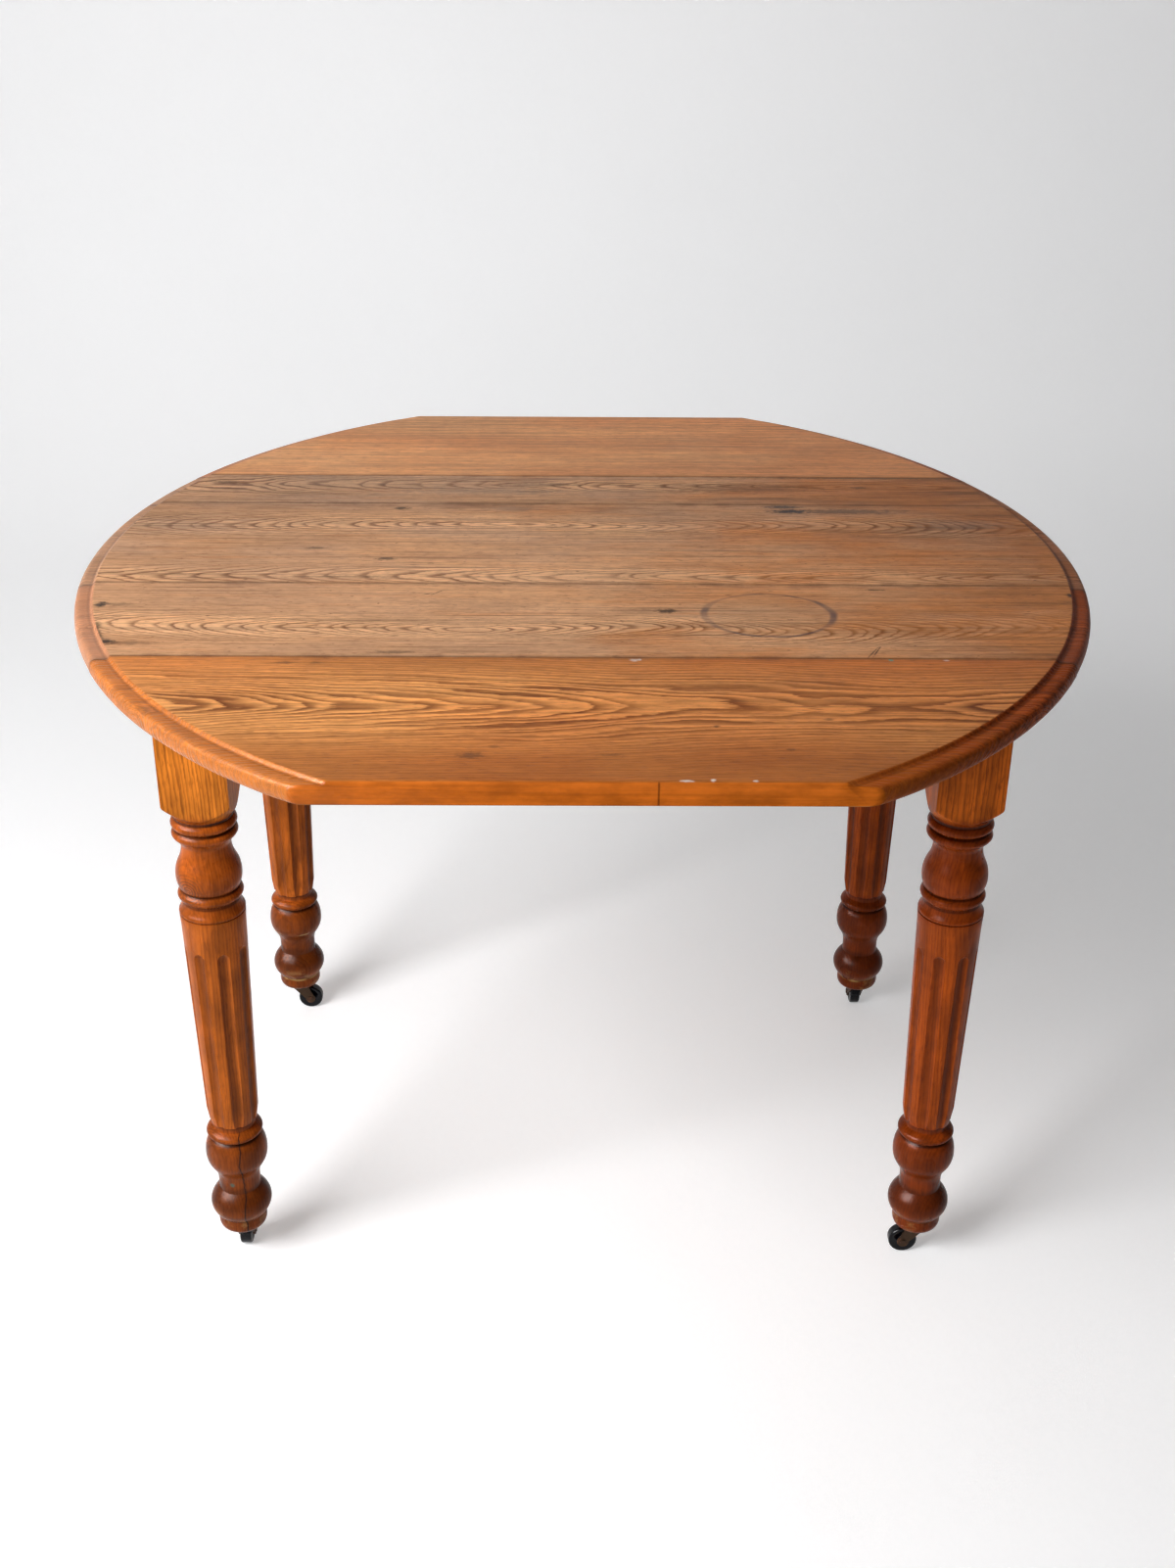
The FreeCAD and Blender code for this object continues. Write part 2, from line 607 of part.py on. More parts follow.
def caster_axle():
    """Riveted axle through both cheeks, heads outside them."""
    outside = WHEEL_WIDTH / 2 + HORN_SIDE_GAP + HORN_CHEEK
    start = vector(CASTER_TRAIL, -outside, WHEEL_D / 2)
    across = vector(0, 1, 0)
    axle = rod(AXLE_D, start, across, 2 * outside)
    near = rod(AXLE_HEAD_D, start, -across, AXLE_HEAD_LENGTH)
    far = rod(AXLE_HEAD_D, start + across * (2 * outside), across, AXLE_HEAD_LENGTH)
    return axle.fuse([near, far]).removeSplitter()


def caster_wheel():
    """Wheel with bevelled tread edges and dished sides, running on the axle."""
    half = WHEEL_WIDTH / 2
    tread_d = WHEEL_D - 2 * WHEEL_EDGE_BEVEL
    profile = TurnedProfile(WHEEL_DISH_D, -half + WHEEL_DISH_DEPTH)
    profile.line(WHEEL_DISH_D, -half)
    profile.line(tread_d, -half)
    profile.line(WHEEL_D, -half + WHEEL_EDGE_BEVEL)
    profile.line(WHEEL_D, half - WHEEL_EDGE_BEVEL)
    profile.line(tread_d, half)
    profile.line(WHEEL_DISH_D, half)
    profile.line(WHEEL_DISH_D, half - WHEEL_DISH_DEPTH)
    wheel = profile.solid()
    bore = rod(AXLE_D + 2 * RUNNING_CLEARANCE, vector(0, 0, -half), Z_AXIS, WHEEL_WIDTH)
    wheel = wheel.cut(bore)
    wheel.rotate(ORIGIN, vector(1, 0, 0), 90)
    wheel.translate(vector(CASTER_TRAIL, 0, WHEEL_D / 2))
    return wheel


def frame_parts():
    """Aprons, legs, glue blocks, knuckle rails and what holds them."""
    aprons = {f"{name}_apron": long_apron(sy) for name, sy in SIDES.items()}
    aprons.update({"left_apron": end_apron(-1), "right_apron": end_apron(1)})
    parts = dict(aprons)
    plain_leg = turned_leg()
    rail = knuckle_rail()
    for corner, (sx, sy) in CORNERS.items():
        leg = placed(plain_leg, sx * LEG_X, sy * LEG_Y, turn=90 - 90 * sy)
        for apron in aprons.values():
            leg = leg.cut(apron)
        parts[f"leg_{corner}"] = leg
    for name, sy in SIDES.items():
        parts[f"{name}_knuckle_rail"] = placed(rail, 0, 0, turn=90 - 90 * sy).cut(rail_screws())
        parts[f"{name}_apron"] = aprons[f"{name}_apron"].cut(rail_screws())
    parts["glue_blocks"] = glue_blocks()
    parts["rail_screws"] = rail_screws()
    return parts


def bracket_parts():
    """Swinging brackets and their pins."""
    parts = {}
    for corner, (sx, sy) in CORNERS.items():
        x = sx * BRACKET_PIVOT_X
        y = sy * BRACKET_PIVOT_Y
        parts[f"bracket_{corner}"] = placed(bracket(), x, y, turn=90 - 90 * sx)
        parts[f"bracket_pin_{corner}"] = placed(bracket_pin(), x, y)
    return parts


def hinge_parts():
    """Flaps, pins and screws of the four leaf hinges."""
    parts = {}
    fixed_screws = []
    leaf_screws = {name: [] for name in SIDES}
    for corner, (sx, sy) in CORNERS.items():
        side = corner.split("_")[0]
        parts[f"hinge_fixed_flap_{corner}"] = hinge_spot(fixed_flap(), sx, sy)
        parts[f"hinge_leaf_flap_{corner}"] = hinge_spot(leaf_flap(), sx, sy)
        parts[f"hinge_pin_{corner}"] = hinge_spot(hinge_pin(), sx, sy)
        fixed_screws += [hinge_spot(s, sx, sy) for s in fixed_flap_screws()]
        leaf_screws[side] += [hinge_spot(s, sx, sy) for s in leaf_flap_screws()]
    parts["hinge_screws_fixed"] = Part.makeCompound(fixed_screws)
    for side, screws in leaf_screws.items():
        parts[f"hinge_screws_{side}_leaf"] = Part.makeCompound(screws)
    return parts


def caster_parts():
    """Socket, horn, axle and wheel of each caster."""
    pieces = {
        "socket": caster_socket(),
        "horn": caster_horn(),
        "axle": caster_axle(),
        "wheel": caster_wheel(),
    }
    parts = {}
    for corner, (sx, sy) in CORNERS.items():
        for piece, shape in pieces.items():
            name = f"caster_{piece}_{corner}"
            parts[name] = placed(shape, sx * LEG_X, sy * LEG_Y, turn=CASTER_TURN[corner])
    return parts


def main():
    os.makedirs("parts", exist_ok=True)
    parts = {}
    for group in (top_boards, frame_parts, bracket_parts, hinge_parts, caster_parts):
        parts.update(group())
    for node, shape in parts.items():
        shape.exportStep(os.path.join("parts", f"{node}.step"))
        print(node, len(shape.Solids), shape.isValid(), round(shape.Volume / 1000, 2))


main()
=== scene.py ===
"""Looks of a drop-leaf dining table: its boards, turned legs, hinges and casters, and a plain stage."""

import math
from collections import namedtuple

import bmesh
import bpy
from bpy.props import FloatProperty, FloatVectorProperty, IntProperty, PointerProperty
from mathutils import Color, Matrix, Vector, noise


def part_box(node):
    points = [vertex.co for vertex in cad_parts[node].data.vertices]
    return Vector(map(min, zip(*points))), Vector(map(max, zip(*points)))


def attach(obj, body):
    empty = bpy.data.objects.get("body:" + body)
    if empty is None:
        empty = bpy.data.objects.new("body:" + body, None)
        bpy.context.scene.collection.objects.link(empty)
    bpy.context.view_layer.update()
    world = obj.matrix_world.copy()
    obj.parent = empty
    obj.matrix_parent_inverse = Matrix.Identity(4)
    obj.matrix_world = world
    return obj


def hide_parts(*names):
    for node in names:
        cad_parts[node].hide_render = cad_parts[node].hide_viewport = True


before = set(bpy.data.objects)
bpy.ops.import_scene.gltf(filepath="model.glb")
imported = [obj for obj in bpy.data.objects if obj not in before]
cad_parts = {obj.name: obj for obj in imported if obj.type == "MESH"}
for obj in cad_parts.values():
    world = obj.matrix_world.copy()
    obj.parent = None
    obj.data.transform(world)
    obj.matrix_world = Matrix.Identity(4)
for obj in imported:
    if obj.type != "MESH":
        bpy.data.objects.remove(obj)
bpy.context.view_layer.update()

bl_info = {
    "name": "Drop-leaf dining table",
    "version": (1, 0, 0),
    "blender": (4, 5, 0),
    "location": "3D View > Sidebar > Table",
    "description": "Dresses a drop-leaf dining table with turned, fluted legs and swivel casters",
    "category": "Object",
}

MM = 0.001
CORNERS = ("front_left", "front_right", "rear_left", "rear_right")
FIXED_BOARDS = ("top_board_front", "top_board_second", "top_board_third", "top_board_rear")
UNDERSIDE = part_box("top_board_front")[0].z
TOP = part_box("top_board_front")[1].z
HALF_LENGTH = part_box("top_board_second")[1].x
HALF_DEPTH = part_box("rear_leaf")[1].y

# Turning of a leg from the floor up, in millimetres from its axis and from the floor. A line has one
# point, a curve is drawn towards the points before its last one.
LEG_START = (18.0, 40.0)
LEG_TURNING = (
    ("foot cup", ((26.7, 40.0), (26.7, 50.0))),
    ("groove", ((25.5, 57.0),)),
    ("foot ring", ((42.85, 76.0), (22.8, 95.0))),
    ("neck", ((22.8, 107.0),)),
    ("ball, lower part", ((22.8, 125.5), (33.8, 125.5), (33.8, 144.0))),
    ("ball, upper part", ((33.8, 159.3), (26.0, 167.0))),
    ("ankle ring", ((36.4, 173.5), (23.2, 180.0))),
    ("ankle", ((23.2, 188.0),)),
    ("column end", ((25.5, 188.0),)),
    ("column bevel", ((27.8, 203.0),)),
    ("column foot", ((28.0, 212.0),)),
    ("column, lower part", ((30.2, 307.0),)),
    ("column, upper part", ((32.37, 401.6),)),
    ("column at the flute noses", ((32.5, 403.2), (32.75, 418.1))),
    ("column head", ((33.3, 442.0),)),
    ("column edge", ((33.9, 452.4),)),
    ("edge round", ((33.9, 453.3), (33.1, 453.4))),
    ("collar groove", ((32.4, 453.6),)),
    ("collar roll", ((35.2, 455.4), (33.2, 458.6))),
    ("flare", ((30.2, 462.5), (29.0, 470.0))),
    ("bead", ((37.8, 476.0), (29.6, 482.0))),
    ("vase belly", ((33.7, 489.5), (33.7, 497.0))),
    ("vase neck", ((33.7, 515.5), (25.3, 515.5), (25.3, 534.0))),
    ("ring seat", ((29.0, 541.0),)),
    ("lower ring", ((38.0, 547.0), (29.0, 553.0))),
    ("upper ring", ((38.0, 559.0), (29.0, 565.0))),
    ("shoulder foot", ((30.0, 565.0),)),
    ("shoulder", ((30.0, 574.0), (48.6, 583.0), (48.6, 592.0))),
    ("block", ((48.6, 722.7),)),
    ("block head", ((48.6, 728.0),)),
)

# Ends of the tapered column, the longest step along the profile, and the share of a step's columns that
# lie within its flute
COLUMN_FOOT = Vector((27.8, 203.0)) * MM
COLUMN_TOP = Vector((33.3, 442.0)) * MM
PROFILE_STEP = 1.2 * MM
FLUTE_COLUMNS = 0.6

# Half profile of a wheel, in millimetres from its axle and from its middle
WHEEL_START = (2.1, -5.3)
WHEEL_TURNING = (
    ("hub", ((5.0, -5.3),)),
    ("hub edge", ((5.6, -5.3), (5.6, -4.9))),
    ("dish", ((6.4, -4.4), (10.0, -5.3))),
    ("side", ((13.0, -6.5),)),
    ("tread edge", ((16.0, -6.5), (16.0, -3.8))),
    ("tread", ((16.0, 3.8),)),
    ("far tread edge", ((16.0, 6.5), (13.0, 6.5))),
    ("far side", ((10.0, 5.3),)),
    ("far dish", ((6.4, 4.4), (5.6, 4.9))),
    ("far hub edge", ((5.6, 5.3), (5.0, 5.3))),
    ("far hub", ((2.1, 5.3),)),
)

# How a piece was sawn. The heart of the tree lies under the line across = crest, at a depth that changes by
# slope either side of turn, softly over soft. It wanders aside, and ripples up and down at a rate. Growth
# rings are pitch apart, swell, come to a point over the heart and stand out within the band beside it.
Grain = namedtuple("Grain", "crest turn depth slope soft ripple rate wander pitch seed point swell band")
BOARD_GRAIN = {
    "front_leaf": Grain(
        crest=-0.384, turn=0.30, depth=0.111, slope=-0.12, soft=0.30, ripple=0.012, rate=6.0,
        wander=0.03, pitch=0.0046, seed=3.0, point=0.03, swell=4.0, band=(0.030, 0.115)),
    "top_board_front": Grain(
        crest=-0.203, turn=-0.112, depth=0.008, slope=0.14, soft=0.03, ripple=0.004, rate=14.0,
        wander=0.04, pitch=0.0026, seed=7.0, point=0.08, swell=1.2, band=(0.013, 0.045)),
    "top_board_second": Grain(
        crest=-0.063, turn=0.60, depth=0.008, slope=0.075, soft=0.03, ripple=0.004, rate=10.0,
        wander=0.02, pitch=0.0026, seed=11.0, point=0.08, swell=2.0, band=(0.010, 0.035)),
    "top_board_third": Grain(
        crest=0.096, turn=-0.072, depth=0.006, slope=0.13, soft=0.03, ripple=0.004, rate=12.0,
        wander=0.02, pitch=0.0030, seed=17.0, point=0.06, swell=1.5, band=(0.014, 0.050)),
    "top_board_rear": Grain(
        crest=0.238, turn=0.35, depth=0.010, slope=0.08, soft=0.05, ripple=0.005, rate=12.0,
        wander=0.02, pitch=0.0030, seed=23.0, point=0.06, swell=2.0, band=(0.012, 0.050)),
    "rear_leaf": Grain(
        crest=0.62, turn=0.1, depth=0.10, slope=0.03, soft=0.10, ripple=0.010, rate=5.0,
        wander=0.03, pitch=0.0034, seed=29.0, point=0.0, swell=3.0, band=(0.20, 0.40)),
}
LEG_GRAIN = Grain(
    crest=0.0, turn=0.30, depth=0.090, slope=0.02, soft=0.30, ripple=0.006, rate=5.0,
    wander=0.01, pitch=0.0034, seed=31.0, point=0.0, swell=2.0, band=(1.0, 2.0))
APRON_GRAIN = Grain(
    crest=0.18, turn=0.2, depth=0.12, slope=0.02, soft=0.2, ripple=0.01, rate=4.0,
    wander=0.02, pitch=0.0036, seed=41.0, point=0.0, swell=2.0, band=(1.0, 2.0))

# Rounding of the rings' point, waves in a metre of the heart's wander and of the rings' width, how far that
# width swings, and degrees by which each leg's grain is turned
RIDGE_ROUND = 2.5 * MM
WANDER_RATE = 3.0
RING_RATE = 160.0
RING_SWING = 0.9
LEG_TURNS = {"front_left": -138.0, "front_right": -55.0, "rear_left": 20.0, "rear_right": 100.0}

# Marks on the top: place, half length and half width in metres, angle in degrees, strength and tint
KNOT_TINT = (0.045, 0.022, 0.012)
BURN_TINT = (0.012, 0.008, 0.007)
GREY_TINT = (0.10, 0.095, 0.09)
PALE_TINT = (0.80, 0.76, 0.70)
GREEN_TINT = (0.10, 0.30, 0.20)
FLECK_TINT = (0.045, 0.105, 0.085)
INK_TINT = (0.022, 0.020, 0.024)
MARKS = {
    "front_leaf": (
        ((-0.098, -0.483), (0.016, 0.010), 0, 0.55, KNOT_TINT),
        ((-0.078, -0.466), (0.007, 0.005), 0, 0.45, KNOT_TINT),
        ((0.022, -0.482), (0.014, 0.004), 0, 0.40, KNOT_TINT),
        ((0.175, -0.470), (0.006, 0.004), 0, 0.50, KNOT_TINT),
        ((-0.280, -0.290), (0.016, 0.004), 0, 0.50, KNOT_TINT),
        ((-0.252, -0.290), (0.008, 0.004), 0, 0.50, KNOT_TINT),
        ((0.290, -0.279), (0.003, 0.003), 0, 0.90, GREEN_TINT),
        ((0.047, -0.281), (0.006, 0.004), 0, 0.60, PALE_TINT),
        ((0.343, -0.279), (0.004, 0.002), 0, 0.50, PALE_TINT),
        ((0.052, -0.280), (0.003, 0.003), 0, 0.60, PALE_TINT),
        ((0.083, -0.5285), (0.008, 0.002), 0, 0.60, PALE_TINT),
        ((0.105, -0.5275), (0.003, 0.003), 0, 0.75, PALE_TINT),
        ((0.140, -0.5285), (0.003, 0.002), 0, 0.65, PALE_TINT),
        ((0.115, -0.425), (0.004, 0.003), 0, 0.75, KNOT_TINT),
        ((0.215, -0.410), (0.006, 0.004), 0, 0.55, KNOT_TINT),
    ),
    "top_board_front": (
        ((0.083, -0.158), (0.015, 0.0075), 0, 0.98, KNOT_TINT),
        ((0.060, -0.158), (0.045, 0.010), 0, 0.30, KNOT_TINT),
        ((-0.485, -0.146), (0.009, 0.010), 20, 0.95, BURN_TINT),
        ((-0.462, -0.241), (0.017, 0.009), -15, 0.95, BURN_TINT),
        ((-0.478, -0.205), (0.007, 0.018), 0, 0.75, BURN_TINT),
        ((-0.471, -0.225), (0.006, 0.026), 22, 0.80, BURN_TINT),
        ((-0.440, -0.244), (0.040, 0.008), 0, 0.45, KNOT_TINT),
        ((-0.470, -0.146), (0.026, 0.006), 0, 0.45, KNOT_TINT),
        ((0.500, -0.111), (0.006, 0.008), 0, 0.95, BURN_TINT),
        ((0.492, -0.185), (0.008, 0.035), 0, 0.50, KNOT_TINT),
        ((0.300, -0.098), (0.016, 0.003), 0, 0.80, KNOT_TINT),
        ((-0.180, -0.264), (0.030, 0.005), 0, 0.55, KNOT_TINT),
        ((-0.150, -0.110), (0.014, 0.0012), 50, 0.80, KNOT_TINT),
        ((-0.160, -0.114), (0.009, 0.0012), 25, 0.80, KNOT_TINT),
        ((0.275, -0.262), (0.020, 0.0013), 62, 0.85, KNOT_TINT),
        ((0.280, -0.258), (0.018, 0.0013), 66, 0.85, KNOT_TINT),
        ((-0.110, -0.145), (0.100, 0.030), 0, 0.20, KNOT_TINT),
    ),
    "top_board_second": (
        ((-0.212, -0.012), (0.014, 0.006), 0, 0.90, KNOT_TINT),
        ((-0.240, -0.066), (0.070, 0.006), 0, 0.45, KNOT_TINT),
    ),
    "top_board_third": (
        ((-0.208, 0.153), (0.013, 0.006), 0, 0.90, KNOT_TINT),
        ((-0.290, 0.020), (0.016, 0.004), 0, 0.70, KNOT_TINT),
        ((0.233, 0.163), (0.032, 0.008), 0, 0.85, INK_TINT),
        ((0.238, 0.148), (0.034, 0.010), 0, 0.95, INK_TINT),
        ((0.300, 0.148), (0.090, 0.012), 0, 0.65, INK_TINT),
        ((0.430, 0.105), (0.080, 0.020), 0, 0.35, GREY_TINT),
        ((-0.080, 0.152), (0.040, 0.012), 0, 0.30, GREY_TINT),
    ),
    "top_board_rear": (
        ((0.330, 0.235), (0.016, 0.005), 0, 0.80, KNOT_TINT),
        ((-0.120, 0.215), (0.120, 0.018), 0, 0.35, GREY_TINT),
        ((-0.330, 0.240), (0.180, 0.060), 0, 0.22, GREY_TINT),
        ((-0.425, 0.245), (0.030, 0.006), 0, 0.70, KNOT_TINT),
        ((0.180, 0.230), (0.140, 0.020), 0, 0.45, KNOT_TINT),
        # Painted shadow in the widening gap at the rear leaf's joint
        ((0.340, 0.272), (0.190, 0.006), 0, 0.75, KNOT_TINT),
        ((-0.050, 0.240), (0.070, 0.012), 0, 0.45, KNOT_TINT),
    ),
}

# How open the joints look: a glued one by its Y, all others of the fixed top being 1, and those of the leaves
GLUED_SEAMS = {0.0: 0.25}
LEAF_SEAM = 0.8

# Joint lines, wear and marks of the boards
SEAM_WIDTH = 1.1 * MM
SMEAR_WIDTH = 12 * MM
FIXED_INSET = 0.6 * MM
FIXED_WEAR = {"top_board_front": 0.30, "top_board_second": 0.40, "top_board_third": 0.65,
              "top_board_rear": 0.80}
END_CRACK_X = 0.060
LEAF_END_SHADOW = (-0.52, -0.42)
# Where the fixed boards are brightened in their middle, and over what distance
BRIGHT_MIDDLE_X = 0.02
BRIGHT_MIDDLE_REACH = (0.1, 0.4)
# Span over which the fixed boards turn darker and warmer towards the right end
RIGHT_TINT_X = (-0.1, 0.45)
LEFT_SHADE_X = (-0.45, -0.15)
REAR_SHADE_Y = (0.02, 0.20)
# Span over which painted shade deepens the moulding towards the right
RIM_SHADE_X = (0.0, 0.42)
SHINE_X = (-0.35, 0.1)
RING_STAIN_CENTRE = (0.185, -0.167)
RING_STAIN_RADIUS = 0.0645
RING_STAIN_OVAL = 1.15

# Marks on the legs, and the heights and places between which the finish changes
FOOT_SPLIT_X = -0.373
FOOT_SPLIT_Y = -0.245
FOOT_SPLIT_TOP = (0.176, 0.186)
PAINT_FLECK = (-0.386, -0.267, 0.108)
KNOT_EYE = (-0.399, -0.273, 0.490)
KNOT_RING = 3.4 * MM
FOOT_GROOVE = 0.0575
BALL_SCRATCH = 0.131
FOOT_CUP_TOP = (0.066, 0.078)
FOOT_RING_BASE = (0.068, 0.080)
FOOT_RING_TOP = (0.098, 0.106)
FOOT_TOP = (0.17, 0.19)
COLUMN_BASE = (0.186, 0.196)
COLUMN_HEAD = (0.448, 0.454)
BLOCK_BASE = (0.567, 0.580)
# Where the painted shade of the right-hand legs sets in
RIGHT_SHADE_X = (-0.1, 0.1)

# Scene-linear tints of small marks
BARE_TINT = (0.42, 0.26, 0.09, 1)
SCUFF_TINT = (0.30, 0.145, 0.05, 1)
SEAM_TINT = (0.07, 0.028, 0.011, 1)
POT_TINT = (0.07, 0.045, 0.05, 1)
POT_FLOOR_TINT = (0.33, 0.20, 0.10, 1)
# Painted shade: deeper, redder tints of the right-hand legs and of their blocks, away from the key light
RIGHT_LEG_SHADE = (0.90, 0.68, 0.56, 1)
RIGHT_BLOCK_SHADE = (1.16, 0.88, 0.80, 1)
WHEEL_DUST_TINT = (0.05, 0.055, 0.055, 1)

# Finish of a board, with the strength of painted shade on its moulding's right, and the parts of its figure that
# several surfaces share
BoardFinish = namedtuple(
    "BoardFinish", "light plain dark rim worn line_width line_strength roughness thick")
BoardWood = namedtuple("BoardWood", "share lines figure streak shade ribs dash")
SOOT_STRETCH = (7.0, 7.0, 20.0)
WOOD_RELIEF = 0.4 * MM
METAL_RELIEF = 0.3 * MM

# Angles in degrees over which an edge stays sharp, and how finely round pieces are divided
LEG_CREASE = 30
BOARD_CREASE = 32
WHEEL_CREASE = 40
SCREW_CREASE = 30
WHEEL_SEGMENTS = 64
WHEEL_STEP = 0.4 * MM
SCREW_SIDES = 32
ARRIS_STEP = 15
ARRIS_STEPS = 4
COVE_STEPS = 8
ROLL_STEPS = 12
FOOT_STEPS = 5
EASE_STEPS = 4

# Shape of the moulding and its wear: shares of the arris, cove, width and end rounding, and waves in a metre
COVE_ENTRY = 0.7
COVE_DEEPEST = 0.4
ROLL_START = 0.8
RIM_START = -0.6
END_SHARE = 0.4
WEAR_START = 0.2 * MM
WEAR_ACROSS = 60
WEAR_DOWN = 200

# Turning: a size that no piece reaches, how far under the column's foot the flutes run out, how far apart
# the legs' grain lies, how near and how deep a groove must be to hold old varnish and painted shade, the least
# flute depth to divide by, and the distances within which points are merged
BEYOND = 1.0
FLUTE_RUN_OUT = 16 * MM
LEG_GRAIN_STEP = 0.9
GROOVE_REACH = 5 * MM
GROOVE_DEPTH = 1.6 * MM
SHALLOWEST = 0.1 * MM
GRID_WELD = 0.01 * MM
DOUBLES = 0.005 * MM

# Screws: shares of the length where the point starts, of the shank at its tip and of the head that the
# slot's cutter spans
SCREW_POINT = 0.7
SCREW_TIP = 0.06
SLOT_LENGTH = 1.2

# Stage: where the floor starts, bends up to the wall and ends, and the bright window seen in gloss
FLOOR_FRONT = -3.2
FLOOR_BEND = 1.9
BEND_RADIUS = 0.6
BEND_STEP = 10
WALL_TOP = 4.0
FLOOR_HALF_WIDTH = 5.0
# Painted shade on the floor and wall: the white added where they are seen fades to a share towards the right
GLOW_FADE = (-1.0, 3.0)
GLOW_KEPT = 0.58
GLOSS_SIDES = (-0.7, 0.7)
GLOSS_EXTRA = 0.25
SENSOR_WIDTH = 36
WINDOW_SIDE = Vector((-0.74, -0.25, 0.62)).normalized()
WINDOW_EDGE = (0.92, 0.97)
KEY_LAMP = {"place": (-1.7, -1.5, 1.95), "target": (0, -0.1, 0.5), "size": (1.4, 1.2)}
FILL_LAMP = {"place": (2.2, -2.0, 2.0), "target": (0, 0, 0.5), "size": (2.0, 2.0)}

CASTER_SPOTS = {corner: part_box(f"caster_socket_{corner}") for corner in CORNERS}


def wood_colour(name, description, default):
    return FloatVectorProperty(name=name, description=description, default=default, size=3, min=0, max=1,
                               subtype="COLOR_GAMMA")


def length(name, description, default):
    return FloatProperty(name=name, description=description, default=default, min=0, unit="LENGTH",
                         subtype="DISTANCE", precision=4)


class TopSizes(bpy.types.PropertyGroup):
    """Edges of the boards that make the top."""

    straight_end: length("Straight end", "Length of the straight edge of each leaf", 430 * MM)
    rim_width: length("Moulding width", "Width of the moulding along the round sides", 17.5 * MM)
    rim_step: length("Moulding step", "Height of the step at the top of the moulding", 4 * MM)
    rim_foot: length("Moulding foot", "Height of the rounding under the moulding's roll", 7 * MM)
    rim_under: length("Moulding undercut", "How far the rounding under the roll goes back", 4 * MM)
    arris: length("Arris", "Rounding of the moulding's upper edge", 3.4 * MM)
    cove: length("Cove", "Width of the hollow between the arris and the roll", 6.5 * MM)
    corner_ease: length("Corner easing", "How far the moulding draws in at the leaf's corners", 1.5 * MM)
    corner_reach: length("Corner reach", "Length over which the moulding draws in", 30 * MM)
    corner_round: length("Corner rounding", "Rounding of the moulding's tips", 2 * MM)
    joint_ease: length("Joint rounding", "Rounding of the boards along their joints", 0.5 * MM)
    end_round: length("End rounding", "Rounding of the straight ends", 4 * MM)
    station: length("Station", "Distance between two sections along the moulding", 4 * MM)
    wear: length("Wear", "Unevenness of the moulding", 0.35 * MM)


class LegSizes(bpy.types.PropertyGroup):
    """Turning and fluting of the legs."""

    blank: length("Blank", "Side of the square block", 68 * MM)
    segments: IntProperty(name="Segments", description="Faces round a leg", default=240, min=16)
    flutes: IntProperty(name="Flutes", description="Number of flutes round the column", default=8, min=1)
    flute_width: length("Flute width", "Width of one flute", 14 * MM)
    flute_depth: length("Flute depth", "Depth of one flute", 3.4 * MM)
    flute_drop: length("Flute drop", "Distance from the column's top to the flutes", 27 * MM)
    relief: length("Relief", "Bevel that lets the leaf swing past the block", 5.3 * MM)


class ScrewSizes(bpy.types.PropertyGroup):
    """Countersunk screws of the hinges and rails."""

    hinge_head: length("Hinge screw head", "Head diameter of the hinge screws", 7 * MM)
    hinge_shank: length("Hinge screw shank", "Shank diameter of the hinge screws", 3.6 * MM)
    hinge_length: length("Hinge screw length", "Length of the hinge screws", 16 * MM)
    hinge_edge: length("Hinge screw edge", "Distance of the hinge screws from the flap's edges", 8 * MM)
    rail_head: length("Rail screw head", "Head diameter of the rail screws", 9 * MM)
    rail_shank: length("Rail screw shank", "Shank diameter of the rail screws", 5 * MM)
    rail_length: length("Rail screw length", "Length of the rail screws", 40 * MM)
    rail_spread: length("Rail screw spread", "Distance of the rail screws from the table's middle", 28 * MM)
    slot_width: length("Slot width", "Width of the driver slot", 1 * MM)
    slot_depth: length("Slot depth", "Depth of the driver slot", 1.1 * MM)
    seed: IntProperty(name="Seed", description="Chooses how the slots are turned", default=5)


